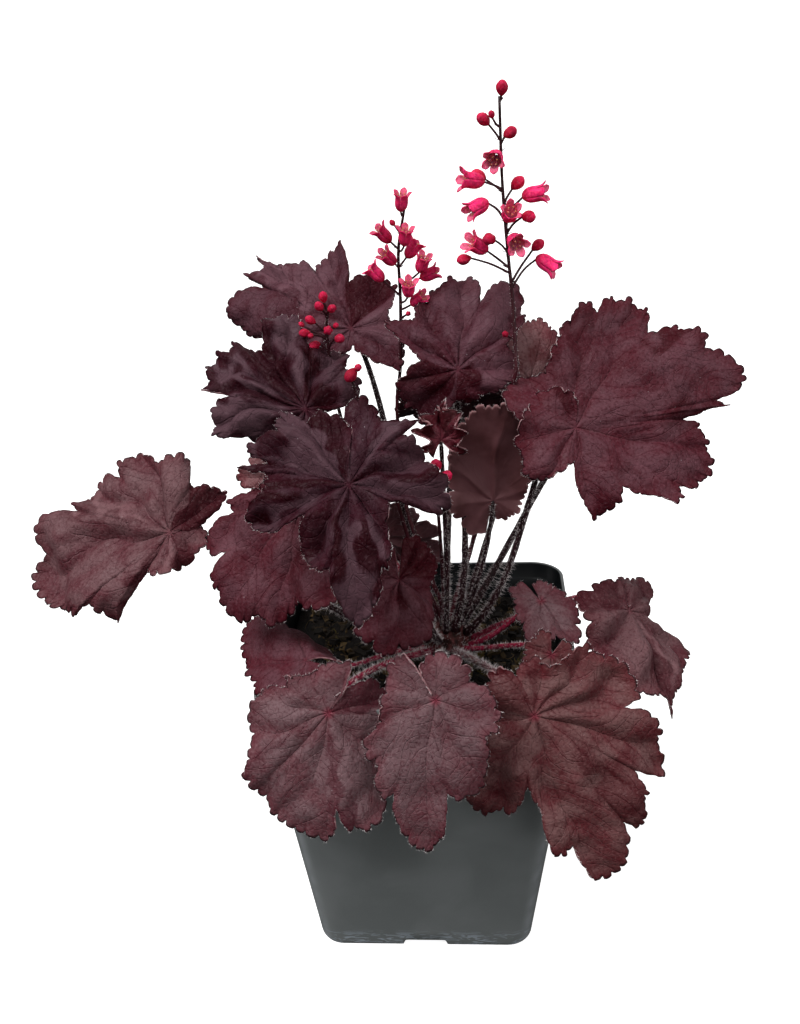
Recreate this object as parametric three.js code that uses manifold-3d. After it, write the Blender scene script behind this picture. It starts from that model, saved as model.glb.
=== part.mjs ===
// Heuchera plant growing in a square nursery pot.
// Millimetres, +Z up, the pot stands on z = 0 with its centre at the origin and its front towards -Y.

import * as THREE from 'three';
import Module from 'manifold-3d';

const wasm = await Module();
wasm.setup();
const { Manifold, Mesh } = wasm;

// ---------------------------------------------------------------- driving dimensions

const POT = {
  topWidth: 130,
  bottomWidth: 95,
  height: 136,
  topCorner: 14,
  bottomCorner: 11,
  wall: 1.8,
  bandHeight: 8,
  bandProud: 0.9,
  footFillet: 2.5,
  skirtHeight: 4,
  basePlate: 2,
  centreFootRadius: 13,
  notchWidth: 18,
  notchHeight: 3.5,
  drainRadius: 4,
  drainRing: 29,
};

const SOIL = { clearance: 0.3, level: 119, bump: 1.6, grid: 6 };

const CROWN = {
  x: 10,
  y: 8,
  domeCentre: 121,
  domeRadius: 13,
  seatGap: 0.35,
  collar: 125.2,
  neck: 122.4,
  stubRadius: 7,
  stubFoot: 105,
};

const LEAF = {
  thickness: 1.1,
  innerRing: 0.42,
  outerRing: 0.8,
  teethPerLobe: 3,
  toothDepth: 0.028,
  sides: 5,
  steps: 7,
};

// Shape of a blade over its plane: pleats between the veins, droop of the margin, ruffle of the
// margin and its waves round the leaf, droop of the lobe tips, and lift of the lobes at the sinus.
const BLADE_FORM = { fold: 0.12, cup: 0.08, ruffle: 0.03, wave: 5, curl: 0.05, lift: 0.12 };

const STALK = { base: 1.7, tip: 1.15, thinBase: 1.3, thinTip: 0.9 };

const FLOWER = {
  stemSides: 5,
  stemTop: 0.55,
  stemFoot: 1.15,
  pedicel: 0.45,
  pedicelSides: 3,
  smallSides: 4,
  bellSides: 5,
};

// ---------------------------------------------------------------- colours

const MATERIALS = {
  pot: { color: 0x3c4445, roughness: 0.45 },
  soil: { color: 0x1b1510, roughness: 0.95 },
  crown: { color: 0x2a1518, roughness: 0.85 },
  upper: { color: 0x2e1a22, roughness: 0.35 },
  lower: { color: 0x55303a, roughness: 0.6 },
  scape: { color: 0xc0132f, roughness: 0.5 },
};

// ---------------------------------------------------------------- leaves
// hub: where the petiole meets the blade. face: azimuth (0 towards -Y, + towards +X) and elevation of
// the way the upper side looks. roll: turn of the midrib from downhill. mid: reach of the middle lobe.
// right, left: [angle from the midrib, reach] of the other lobes, seen from the upper side.
// seat: [ring, azimuth] of the petiole base on the crown. bow: shift of the petiole's middle.
// form: changes to BLADE_FORM. approach: turn of the petiole's end from the blade's back towards its
// sinus. thin: a younger leaf with a thinner petiole.

const LEAVES = [
  {
    name: 'top_left', hub: [-29, 50, 258], face: [-22, 42], roll: 145, mid: 50,
    right: [[13, 46], [60, 28], [108, 27], [157, 27]],
    left: [[10, 51], [27, 73], [48, 62], [66, 45], [108, 34], [150, 27]],
    seat: ['C', 225], form: { fold: 0.12, cup: 0.04 },
  },
  {
    name: 'left_upper', hub: [-44, 0, 238], face: [-20, 38], roll: 109, mid: 54,
    right: [[12, 55], [41, 45], [78, 30], [132, 23], [165, 19]],
    left: [[12, 50], [28, 43], [43, 43], [74, 27], [116, 24], [155, 20]],
    seat: ['B', 275], form: { fold: 0.22, cup: 0.05, ruffle: 0.05 },
  },
  {
    name: 'front_dark', hub: [-22, -55, 227], face: [-5, 48], roll: -7, mid: 50,
    right: [[22, 35], [84, 42], [116, 47], [143, 50], [163, 37]],
    left: [[22, 34], [75, 38], [99, 31], [142, 39], [166, 37]],
    seat: ['B', 322], form: { fold: 0.3, cup: 0.1, curl: 0.12 },
  },
  {
    name: 'left_mid', hub: [-44, -34, 209], face: [-20, 30], roll: 34, mid: 55,
    right: [[31, 48], [57, 35], [100, 28], [148, 22]],
    left: [[26, 48], [60, 38], [100, 27], [146, 20]],
    seat: ['B', 300], form: { cup: 0.1 },
  },
  {
    name: 'far_left', hub: [-103, -12, 189], face: [-25, 36], roll: 64, mid: 69,
    right: [[16, 69], [41, 56], [77, 40], [106, 35], [156, 27]],
    left: [[21, 61], [38, 47], [72, 23], [104, 19], [140, 18]],
    seat: ['A', 284], form: { fold: 0.2, cup: 0.05, ruffle: 0.05 },
  },
  {
    name: 'centre_top', hub: [18, 5, 252], face: [0, 40], roll: -175, mid: 44,
    right: [[21, 46], [38, 41], [66, 25], [128, 18], [152, 17]],
    left: [[26, 38], [54, 39], [106, 26], [146, 26]],
    seat: ['C', 44], form: { fold: 0.18 }, bow: [-2, 12, 0],
  },
  {
    name: 'right_big', hub: [65, -5, 230], face: [10, 28], roll: -74, mid: 61,
    right: [[27, 51], [65, 38], [112, 26], [156, 25]],
    left: [[28, 76], [47, 70], [69, 64], [88, 56], [137, 30]],
    seat: ['B', 75], form: { fold: 0.1, cup: 0.06 },
  },
  {
    name: 'behind_right', hub: [48, 20, 242], face: [10, 25], roll: -165, mid: 28,
    right: [[18, 24], [40, 13], [85, 13], [135, 11]],
    left: [[18, 26], [52, 20], [97, 16], [142, 12]],
    seat: ['C', 116], form: {}, thin: true,
  },
  {
    name: 'centre_young', hub: [32, 4, 195], face: [180, 0], roll: 174, mid: 46,
    right: [[13, 45], [28, 38], [55, 24], [105, 19], [152, 19]],
    left: [[20, 33], [64, 15], [108, 12], [144, 11]],
    seat: ['C', 80], form: { cup: 0.16 }, approach: 75, thin: true,
  },
  {
    name: 'centre_bud', hub: [11, -12, 228], face: [0, 45], roll: 178, mid: 17,
    right: [[23, 16], [60, 14], [120, 10]],
    left: [[36, 12], [74, 12], [130, 9]],
    seat: ['C', 8], form: { fold: 0.3 }, thin: true,
  },
  {
    name: 'front_folded', hub: [-6, -40, 180], face: [20, 35], roll: 20, mid: 31,
    right: [[30, 26], [53, 18], [95, 18], [140, 16]],
    left: [[25, 25], [71, 20], [134, 21], [166, 19]],
    seat: ['B', 346], form: { fold: 0.3 },
  },
  {
    name: 'low_left', hub: [-43, -53, 151], face: [-50, 58], roll: 62, mid: 33,
    right: [[27, 48], [52, 47], [94, 28], [146, 18]],
    left: [[43, 24], [96, 16], [146, 14]],
    seat: ['A', 312], form: { cup: 0.05 }, thin: true,
  },
  {
    name: 'bottom_left', hub: [-33, -72, 139], face: [-6, 20], roll: 5, mid: 54,
    right: [[35, 46], [58, 38], [97, 28], [161, 20]],
    left: [[22, 49], [54, 34], [110, 23], [154, 18]],
    seat: ['A', 332], form: {},
  },
  {
    name: 'bottom_centre', hub: [9, -88, 155], face: [0, 16], roll: 3, mid: 62,
    right: [[24, 44], [57, 32], [112, 20], [145, 21]],
    left: [[24, 43], [81, 24], [135, 18], [166, 18]],
    seat: ['A', 358], form: { cup: 0.12 },
  },
  {
    name: 'bottom_right', hub: [46, -71, 137], face: [6, 20], roll: -18, mid: 73,
    right: [[11, 57], [45, 46], [87, 22], [165, 22]],
    left: [[43, 54], [58, 51], [93, 42], [126, 34], [154, 22]],
    seat: ['A', 22], form: { fold: 0.14 },
  },
  {
    name: 'right_small', hub: [52, -4, 151], face: [15, 56], roll: -29, mid: 24,
    right: [[48, 21], [104, 12], [156, 14]],
    left: [[37, 16], [90, 9], [140, 10]],
    seat: ['A', 66], form: { fold: 0.2 }, thin: true,
  },
  {
    name: 'right_low', hub: [91, 5, 141], face: [40, 46], roll: 6, mid: 49,
    right: [[19, 40], [61, 28], [118, 26], [150, 17]],
    left: [[37, 36], [72, 20], [110, 21], [155, 15]],
    seat: ['A', 88], form: { fold: 0.22 }, approach: 62, bow: [0, 0, 5],
  },
  {
    name: 'right_under', hub: [54, -44, 148], face: [20, 34], roll: 18, mid: 18,
    right: [[59, 14], [104, 12], [150, 11]],
    left: [[30, 15], [72, 12], [125, 10]],
    seat: ['A', 43], form: {}, thin: true,
  },
  {
    name: 'left_behind', hub: [-59, 22, 200], face: [-10, 10], roll: 83, mid: 24,
    right: [[45, 15], [92, 13], [142, 12]],
    left: [[35, 16], [82, 14], [138, 12]],
    seat: ['B', 252], form: {}, thin: true,
  },
  {
    name: 'back_left', hub: [-42, 62, 188], face: [-145, 44], roll: 6, mid: 46,
    right: [[30, 43], [62, 37], [104, 32], [150, 26]],
    left: [[28, 44], [58, 38], [98, 31], [146, 25]],
    seat: ['A', 228], form: {},
  },
  {
    name: 'back_right', hub: [76, 52, 212], face: [132, 46], roll: -8, mid: 48,
    right: [[28, 44], [60, 38], [102, 30], [150, 25]],
    left: [[31, 45], [64, 39], [106, 32], [152, 26]],
    seat: ['B', 128], form: {},
  },
  {
    name: 'back_high', hub: [16, 66, 220], face: [178, 50], roll: 4, mid: 40,
    right: [[30, 37], [64, 33], [108, 27], [152, 22]],
    left: [[31, 37], [66, 32], [110, 27], [150, 22]],
    seat: ['B', 178], form: {},
  },
  {
    name: 'back_low', hub: [-24, 82, 142], face: [-170, 26], roll: -6, mid: 50,
    right: [[30, 45], [62, 38], [104, 31], [152, 24]],
    left: [[28, 46], [60, 37], [102, 30], [150, 24]],
    seat: ['A', 205], form: {},
  },
];

// ---------------------------------------------------------------- flower scapes
// stem: points from the top down, each [x, y, z]. heads: [kind, x, y, z, stem point it hangs on
// (its z), way the mouth looks as azimuth and elevation].

const SCAPES = [
  {
    name: 'tall',
    stem: [[35, 10, 356], [36, 10, 326], [38, 9, 300], [40, 8, 280], [41, 5, 262], [41, 3, 250],
      [36, 8, 237], [31, 12, 212], [24, 13, 175]],
    seat: ['D', 85],
    heads: [
      ['bud', 36, 10, 359, 354, 10, 70], ['bud', 29, 9, 348, 340, -60, 40],
      ['small', 32, 7, 350, 345, -20, 60], ['bud', 39, 9, 343, 336, 60, 30],
      ['bell', 33, 5, 334, 330, -10, -10], ['bell', 24, 9, 326, 322, -75, 10],
      ['bud', 27, 13, 327, 321, -120, 20], ['bell', 26, 6, 316, 310, -60, -20],
      ['bell', 49, 10, 320, 310, 75, 10], ['bud', 42, 12, 324, 316, 110, 40],
      ['bell', 39, 4, 314, 306, 10, 30], ['bud', 46, 7, 312, 305, 50, 0],
      ['bud', 31, 6, 304, 298, -40, 10], ['bell', 41, 3, 303, 297, 10, -10],
      ['bell', 26, 10, 301, 292, -60, 30], ['bud', 21, 8, 296, 290, -80, -10],
      ['bell', 54, 9, 293, 284, 70, -30], ['bud', 50, 12, 300, 286, 90, 40],
      ['small', 38, 4, 267, 264, -20, 30],
    ],
  },
  {
    name: 'middle',
    stem: [[-3, 31, 312], [-6, 32, 295], [-6, 34, 274], [-7, 34, 246], [-9, 32, 226], [-7, 27, 187],
      [4, 14, 155]],
    seat: ['D', 200],
    heads: [
      ['bell', -3, 31, 314, 310, 0, 80], ['small', -9, 30, 306, 302, -80, 30],
      ['bell', -12, 29, 300, 296, -70, 20], ['bud', -3, 26, 299, 296, 0, 10],
      ['bell', -9, 25, 292, 288, -20, -10], ['bell', 1, 29, 293, 287, 60, 40],
      ['bell', 9, 30, 286, 280, 80, 20], ['bell', 4, 29, 284, 278, 30, 0],
      ['bell', -16, 33, 285, 278, -90, 10], ['bell', -2, 33, 276, 272, 40, -30],
    ],
  },
  {
    name: 'left',
    stem: [[-37, 27, 276], [-39, 27, 260], [-34, 26, 225], [-18, 21, 175]],
    seat: ['D', 250],
    heads: [
      ['bud', -37, 26, 279, 276, 0, 80], ['bud', -41, 25, 274, 270, -70, 30],
      ['bud', -34, 25, 273, 269, 60, 30], ['bud', -45, 26, 266, 262, -80, 10],
      ['bud', -38, 23, 268, 264, 0, 10], ['bud', -33, 24, 265, 261, 50, 20],
      ['bell', -42, 22, 258, 254, -40, -10], ['bell', -32, 24, 259, 253, 60, -10],
    ],
  },
  {
    name: 'single',
    stem: [[-24, -8, 253], [-21, -8, 243], [-12, -4, 215], [-2, 1, 170]],
    seat: ['D', 305],
    heads: [['bell', -25, -9, 256, 252, -40, 30], ['bud', -21, -9, 258, 252, 30, 70]],
  },
  {
    name: 'short',
    stem: [[9, -18, 217], [9, -13, 203], [10, -4, 170]],
    seat: ['D', 5],
    heads: [
      ['bud', 9, -19, 220, 217, 0, 70], ['bud', 5, -20, 216, 212, -50, 30],
      ['bud', 13, -20, 216, 212, 50, 30], ['bud', 9, -22, 211, 208, 0, 10],
    ],
  },
];

// Rings of seats on the crown's dome: how far each stalk leans out from upright, in degrees.
const SEAT_LEAN = { A: 68, B: 46, C: 27, D: 11 };

// ---------------------------------------------------------------- vectors

const rad = (degrees) => (degrees * Math.PI) / 180;
const vec = (x, y, z) => new THREE.Vector3(x, y, z);
const clamp = (value, low, high) => Math.min(Math.max(value, low), high);

/** Unit vector of an azimuth (0 towards -Y, + towards +X) and an elevation, in degrees. */
function direction(azimuth, elevation) {
  const flat = Math.cos(rad(elevation));
  return vec(Math.sin(rad(azimuth)) * flat, -Math.cos(rad(azimuth)) * flat, Math.sin(rad(elevation)));
}

// ---------------------------------------------------------------- solids

/** Closed solid from vertices [x, y, z] and triangles [a, b, c]. */
function solid(vertices, triangles) {
  return new Manifold(new Mesh({
    numProp: 3,
    vertProperties: Float32Array.from(vertices.flat()),
    triVerts: Uint32Array.from(triangles.flat()),
  }));
}

/** Solid skinned over rings of equal length, counter-clockwise seen from the last ring's side. */
function loft(rings) {
  const count = rings[0].length;
  const triangles = [];
  for (let k = 0; k + 1 < rings.length; k += 1) {
    for (let i = 0; i < count; i += 1) {
      const j = (i + 1) % count;
      const [a, b] = [k * count + i, k * count + j];
      triangles.push([a, b, b + count], [a, b + count, a + count]);
    }
  }
  const last = (rings.length - 1) * count;
  for (let i = 1; i + 1 < count; i += 1) {
    triangles.push([0, i + 1, i], [last, last + i, last + i + 1]);
  }
  return solid(rings.flat(), triangles);
}

/** Round bar along a path; radius is a function of the fraction of the way along it. */
function tube(path, radius, sides) {
  const rings = [];
  let side = null;
  path.forEach((point, k) => {
    const before = path[Math.max(k - 1, 0)];
    const after = path[Math.min(k + 1, path.length - 1)];
    const along = after.clone().sub(before).normalize();
    if (side === null) {
      side = Math.abs(along.z) < 0.9 ? vec(0, 0, 1) : vec(1, 0, 0);
    }
    side = side.clone().addScaledVector(along, -side.dot(along)).normalize();
    const other = along.clone().cross(side);
    const r = radius(k / (path.length - 1));
    const ring = [];
    for (let i = 0; i < sides; i += 1) {
      const turn = (2 * Math.PI * i) / sides;
      const place = point.clone().addScaledVector(side, r * Math.cos(turn));
      ring.push(place.addScaledVector(other, r * Math.sin(turn)).toArray());
    }
    rings.push(ring);
  });
  return loft(rings);
}

/** Points of a cubic Bezier curve. */
function bezier(a, b, c, d, steps) {
  return new THREE.CubicBezierCurve3(a, b, c, d).getPoints(steps);
}

/** Ring of points round a square with rounded corners, at one height. */
function squareRing(width, corner, z, steps = 3) {
  const ring = [];
  const inset = width / 2 - corner;
  for (let quarter = 0; quarter < 4; quarter += 1) {
    const start = (quarter * Math.PI) / 2;
    const cx = inset * (quarter === 0 || quarter === 3 ? 1 : -1);
    const cy = inset * (quarter < 2 ? 1 : -1);
    for (let i = 0; i <= steps; i += 1) {
      const turn = start + (Math.PI / 2) * (i / steps);
      ring.push([cx + corner * Math.cos(turn), cy + corner * Math.sin(turn), z]);
    }
  }
  return ring;
}

/** Upright cylinder. */
function post(x, y, radius, low, high, sides) {
  const ring = (z) => Array.from({ length: sides }, (_, i) => {
    const turn = (2 * Math.PI * (i + 0.5)) / sides;
    return [x + radius * Math.cos(turn), y + radius * Math.sin(turn), z];
  });
  return loft([ring(low), ring(high)]);
}

/** Box between two corners. */
function box(low, high) {
  const ring = (z) => [[high[0], high[1], z], [low[0], high[1], z], [low[0], low[1], z],
    [high[0], low[1], z]];
  return loft([ring(low[2]), ring(high[2])]);
}

// ---------------------------------------------------------------- pot and soil

const taper = (z) => POT.bottomWidth + ((POT.topWidth - POT.bottomWidth) * z) / POT.height;
const potCorner = (z) => POT.bottomCorner + ((POT.topCorner - POT.bottomCorner) * z) / POT.height;

/** Ring on the pot's wall at height z, moved in from the outer face by an inset. */
function wallRing(z, inset) {
  return squareRing(taper(z) - 2 * inset, potCorner(z) - inset, z);
}

/** Pot: tapered walls, a proud rim band, and a raised base plate over a notched skirt. */
function buildPot() {
  const { height, wall, bandHeight, bandProud, footFillet, skirtHeight, basePlate } = POT;
  const bandFoot = height - bandHeight;
  const outside = loft([
    wallRing(0, 1),
    wallRing(footFillet * 0.4, 0.3),
    wallRing(footFillet, 0),
    wallRing(bandFoot, 0),
    wallRing(bandFoot + 0.6, -bandProud),
    wallRing(height - 0.8, -bandProud),
    wallRing(height, 0.6 - bandProud),
  ]);
  const floor = skirtHeight + basePlate;
  const inside = loft([
    wallRing(floor, wall + 2),
    wallRing(floor + 3, wall),
    wallRing(bandFoot, wall),
    wallRing(bandFoot + 0.6, wall - bandProud),
    wallRing(height + 1, wall - bandProud - 0.2),
  ]);
  const underside = loft([
    wallRing(-1, wall + 0.8),
    wallRing(skirtHeight, wall + 0.8),
  ]).subtract(post(0, 0, POT.centreFootRadius, -2, skirtHeight + 1, 16));
  let pot = outside.subtract(inside).subtract(underside);
  const reach = POT.bottomWidth;
  const half = POT.notchWidth / 2;
  const notchX = box([-reach, -half, -1], [reach, half, POT.notchHeight]);
  const notchY = box([-half, -reach, -1], [half, reach, POT.notchHeight]);
  const foot = post(0, 0, POT.centreFootRadius, 0, skirtHeight + 1, 16);
  pot = pot.subtract(notchX).subtract(notchY).add(foot);
  for (let i = 0; i < 8; i += 1) {
    const turn = rad(22.5 + 45 * i);
    const [x, y] = [POT.drainRing * Math.cos(turn), POT.drainRing * Math.sin(turn)];
    pot = pot.subtract(post(x, y, POT.drainRadius, -1, floor + 1, 8));
  }
  return pot;
}

/** Soil: a block that fills the pot, with a bumpy top and a plain hole for the crown. */
function buildSoil() {
  const floor = POT.skirtHeight + POT.basePlate + SOIL.clearance;
  const inset = POT.wall + SOIL.clearance;
  const { level } = SOIL;
  const block = loft([
    wallRing(floor + 0.3, inset + 2.2),
    wallRing(floor + 3, inset + 0.2),
    wallRing(level - 3, inset),
    wallRing(level, inset + 1.2),
  ]);
  const { x, y, stubRadius, stubFoot } = CROWN;
  const hole = post(x, y, stubRadius + 0.4, stubFoot - SOIL.clearance, level + 20, 16);
  return block.add(soilMound()).subtract(hole);
}

/** Bumpy cap of soil, a grid of gentle lumps that falls to the block's level at its edge. */
function soilMound() {
  const cells = SOIL.grid;
  const span = taper(SOIL.level) - 2 * (POT.wall + SOIL.clearance) - 10;
  const base = SOIL.level - 2;
  const top = [];
  for (let j = 0; j <= cells; j += 1) {
    for (let i = 0; i <= cells; i += 1) {
      const [u, v] = [i / cells - 0.5, j / cells - 0.5];
      const edge = Math.max(Math.abs(u), Math.abs(v)) * 2;
      const lump = Math.sin(2.1 * i + 1.3 * j) + Math.sin(1.7 * j - 2.6 * i + 1);
      const rise = edge > 0.99 ? -0.8 : 1.2 + (SOIL.bump * (lump + 2)) / 4;
      top.push([u * span, v * span, SOIL.level + rise]);
    }
  }
  const bottom = top.map(([x, y]) => [x, y, base]);
  const row = cells + 1;
  const shift = top.length;
  const triangles = [];
  for (let j = 0; j < cells; j += 1) {
    for (let i = 0; i < cells; i += 1) {
      const a = j * row + i;
      triangles.push([a, a + 1, a + row + 1], [a, a + row + 1, a + row]);
      triangles.push([shift + a, shift + a + row + 1, shift + a + 1]);
      triangles.push([shift + a, shift + a + row, shift + a + row + 1]);
    }
  }
  const wallQuad = (a, b) => {
    triangles.push([a, shift + a, shift + b], [a, shift + b, b]);
  };
  for (let i = 0; i < cells; i += 1) {
    wallQuad(i, i + 1);
    wallQuad(cells + i * row, cells + (i + 1) * row);
    wallQuad(cells * row + cells - i, cells * row + cells - i - 1);
    wallQuad((cells - i) * row, (cells - i - 1) * row);
  }
  return solid([...top, ...bottom], triangles);
}

// ---------------------------------------------------------------- crown

/** Short woody rootstock: a stub in the soil under a dome that carries the stalks. */
function buildCrown() {
  const ring = (radius, z, sides = 12) => Array.from({ length: sides }, (_, i) => {
    const turn = (2 * Math.PI * i) / sides;
    return [CROWN.x + radius * Math.cos(turn), CROWN.y + radius * Math.sin(turn), z];
  });
  const domeRing = (lean) => ring(
    CROWN.domeRadius * Math.sin(rad(lean)),
    CROWN.domeCentre + CROWN.domeRadius * Math.cos(rad(lean)),
  );
  return loft([
    ring(CROWN.stubRadius - 2, CROWN.stubFoot),
    ring(CROWN.stubRadius, CROWN.stubFoot + 3),
    ring(CROWN.stubRadius, CROWN.neck),
    ring(CROWN.domeRadius * 0.94, CROWN.collar),
    ...[62, 44, 26, 6].map(domeRing),
  ]);
}

/** Start and leaving direction of a stalk on the crown. */
function seatOf([ring, azimuth]) {
  const out = direction(azimuth, 90 - SEAT_LEAN[ring]);
  const place = vec(CROWN.x, CROWN.y, CROWN.domeCentre)
    .addScaledVector(out, CROWN.domeRadius + CROWN.seatGap);
  return { place, out };
}

// ---------------------------------------------------------------- leaf blade

/** Axes of a blade: face (normal), mid (midrib) and right, as unit vectors. */
function bladeAxes(leaf) {
  const face = direction(...leaf.face);
  const down = vec(0, 0, -1).addScaledVector(face, face.z).normalize();
  const left = face.clone().cross(down);
  const turn = rad(leaf.roll);
  const mid = down.multiplyScalar(Math.cos(turn)).addScaledVector(left, -Math.sin(turn));
  const right = mid.clone().cross(face);
  return { face, mid, right };
}

/** Lobes in order of angle, from the left end of the sinus to its right end. */
function lobesOf(leaf) {
  const left = leaf.left.map(([angle, reach]) => [-angle, reach]).reverse();
  const lobes = [...left, [0, leaf.mid], ...leaf.right];
  const first = lobes[0];
  const last = lobes[lobes.length - 1];
  return {
    lobes,
    start: [Math.max(first[0] - 13, -174), first[1] * 0.82],
    end: [Math.min(last[0] + 13, 174), last[1] * 0.82],
  };
}

/** Quarter-round dip from 0 at a crest to 1 in the notch; t runs from 0 to 1. */
function dip(t) {
  const v = 1 - Math.abs(2 * t - 1);
  return 1 - Math.sqrt(Math.max(1 - v * v, 0));
}

/** Margin of the blade: columns of angle, reach, how deep between two veins, and inner flag. */
function marginOf(leaf) {
  const { lobes, start, end } = lobesOf(leaf);
  const columns = [{ angle: start[0], reach: start[1], between: 0.3, inner: true }];
  const perLobe = 2 * LEAF.teethPerLobe;
  lobes.slice(0, -1).forEach(([angle, reach], k) => {
    const [nextAngle, nextReach] = lobes[k + 1];
    const spread = nextAngle - angle;
    const depth = clamp((0.45 * spread) / 60, 0.1, 0.42);
    for (let i = 0; i < perLobe; i += 1) {
      const t = i / perLobe;
      const tooth = LEAF.toothDepth * dip((LEAF.teethPerLobe * t) % 1);
      const plain = reach + (nextReach - reach) * t;
      columns.push({
        angle: angle + spread * t,
        reach: plain * (1 - depth * dip(t)) * (1 - tooth),
        between: Math.sin(Math.PI * t) ** 2,
        inner: i % 3 === 0,
      });
    }
  });
  const last = lobes[lobes.length - 1];
  columns.push({ angle: last[0], reach: last[1], between: 0, inner: true });
  columns.push({ angle: end[0], reach: end[1], between: 0.3, inner: true });
  return columns;
}

/** Height of the blade over its plane at a column, at fraction s of the column's reach. */
function bladeHeight(leaf, column, s) {
  const form = { ...BLADE_FORM, ...leaf.form };
  const r = s * column.reach;
  const size = leaf.mid;
  const phase = leaf.hub[0] * 0.37 + leaf.hub[2] * 0.11;
  const turn = rad(column.angle);
  const pleat = form.fold * r * column.between * (1 - 0.35 * s);
  const cup = (-form.cup * r * r) / size;
  const ruffle = form.ruffle * size * s ** 4 * Math.sin(form.wave * turn + phase);
  const curl = -form.curl * r * s ** 3 * (1 - column.between);
  const basal = clamp((Math.abs(column.angle) - 110) / 60, 0, 1);
  const lift = form.lift * r * basal * basal * (column.angle > 0 ? 1 : 0.4);
  return pleat + cup + ruffle + curl + lift;
}

/** Blade as a thin closed solid, split into triangles alike on both faces. */
function buildBlade(leaf) {
  const { face, mid, right } = bladeAxes(leaf);
  const hub = vec(...leaf.hub);
  const margin = marginOf(leaf);
  const points = [hub.clone()];
  const addPoint = (column, s) => {
    const r = s * column.reach;
    const turn = rad(column.angle);
    const point = hub.clone()
      .addScaledVector(mid, r * Math.cos(turn))
      .addScaledVector(right, r * Math.sin(turn))
      .addScaledVector(face, bladeHeight(leaf, column, s));
    points.push(point);
    return points.length - 1;
  };
  const coarse = margin.filter((column) => column.inner);
  const inner = coarse.map((column) => addPoint(column, LEAF.innerRing));
  const outer = coarse.map((column) => addPoint(column, LEAF.outerRing));
  const edge = margin.map((column) => addPoint(column, 1));
  const faces = [];
  for (let k = 0; k + 1 < inner.length; k += 1) {
    faces.push([0, inner[k], inner[k + 1]]);
    faces.push([inner[k], outer[k], outer[k + 1]], [inner[k], outer[k + 1], inner[k + 1]]);
    const from = margin.indexOf(coarse[k]);
    const to = margin.indexOf(coarse[k + 1]);
    const middle = from + Math.ceil((to - from) / 2);
    for (let j = from; j < to; j += 1) {
      if (j === middle) {
        faces.push([outer[k], edge[j], outer[k + 1]]);
      }
      const anchor = j < middle ? outer[k] : outer[k + 1];
      faces.push([anchor, edge[j], edge[j + 1]]);
    }
    if (middle === to) {
      faces.push([outer[k], edge[to], outer[k + 1]]);
    }
  }
  const lastRing = inner.length - 1;
  const rim = [0, inner[0], outer[0], ...edge, outer[lastRing], inner[lastRing]];
  return thicken(points, faces, rim, face);
}

/** Closed solid of a sheet of triangles: half its thickness to each side of every vertex. */
function thicken(points, faces, rim, face) {
  const normals = points.map(() => vec(0, 0, 0));
  const upward = faces.map(([a, b, c]) => {
    const n = points[b].clone().sub(points[a]).cross(points[c].clone().sub(points[a]));
    const flip = n.dot(face) < 0;
    [a, b, c].forEach((index) => normals[index].addScaledVector(n, flip ? -1 : 1));
    return flip ? [a, c, b] : [a, b, c];
  });
  const half = LEAF.thickness / 2;
  const shift = points.length;
  const vertices = [];
  points.forEach((p, i) => {
    vertices.push(p.clone().addScaledVector(normals[i].normalize(), half).toArray());
  });
  points.forEach((p, i) => {
    vertices.push(p.clone().addScaledVector(normals[i], -half).toArray());
  });
  const triangles = [...upward];
  upward.forEach(([a, b, c]) => triangles.push([shift + a, shift + c, shift + b]));
  rim.forEach((a, k) => {
    const b = rim[(k + 1) % rim.length];
    triangles.push([a, b, shift + b], [a, shift + b, shift + a]);
  });
  return solid(vertices, triangles);
}

// ---------------------------------------------------------------- petiole and leaf

/** Path of a petiole from the crown to just under the blade's hub. */
function petiolePath(leaf) {
  const { face, mid } = bladeAxes(leaf);
  const { place, out } = seatOf(leaf.seat);
  const hub = vec(...leaf.hub);
  const length = hub.distanceTo(place);
  const turn = rad(leaf.approach ?? 35);
  const arrive = face.clone().multiplyScalar(-Math.cos(turn)).addScaledVector(mid, -Math.sin(turn));
  const bow = vec(...(leaf.bow ?? [0, 0, 0]));
  const first = place.clone().addScaledVector(out, length * 0.38).add(bow);
  const second = hub.clone().addScaledVector(arrive, length * 0.26).add(bow);
  return bezier(place, first, second, hub.clone().addScaledVector(face, -0.15), LEAF.steps);
}

/** Whole leaf, its petiole sunk into the blade's hub. */
function buildLeaf(leaf) {
  const { base, tip, thinBase, thinTip } = STALK;
  const [foot, top] = leaf.thin ? [thinBase, thinTip] : [base, tip];
  const stalk = tube(petiolePath(leaf), (s) => foot + (top - foot) * s, LEAF.sides);
  return buildBlade(leaf).add(stalk);
}

// ---------------------------------------------------------------- flowers

/** Ring of a turned form round an axis. */
function turnedRing(centre, axis, radius, sides, start = 0) {
  const side = Math.abs(axis.z) < 0.9 ? vec(0, 0, 1) : vec(1, 0, 0);
  side.addScaledVector(axis, -side.dot(axis)).normalize();
  const other = axis.clone().cross(side);
  return Array.from({ length: sides }, (_, i) => {
    const turn = start + (2 * Math.PI * i) / sides;
    const r = Array.isArray(radius) ? radius[i % radius.length] : radius;
    return centre.clone().addScaledVector(side, r * Math.cos(turn))
      .addScaledVector(other, r * Math.sin(turn)).toArray();
  });
}

/** Closed form through [distance along, radius] pairs about an axis. */
function turned(centre, axis, profile, sides) {
  return loft(profile.map(([along, radius]) => (
    turnedRing(centre.clone().addScaledVector(axis, along), axis, radius, sides)
  )));
}

const BUD = [[-3.2, 0.7], [-1.2, 2.1], [1.2, 2.2], [3, 0.8]];
const SMALL_BUD = [[-2, 0.5], [-0.4, 1.4], [1.6, 0.6]];
const BELL = { back: [-5.5, 0.9], belly: [-2.4, 2.8], lobe: [4.6, 4.4], notch: [3, 2.6], throat: -0.5 };

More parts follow.
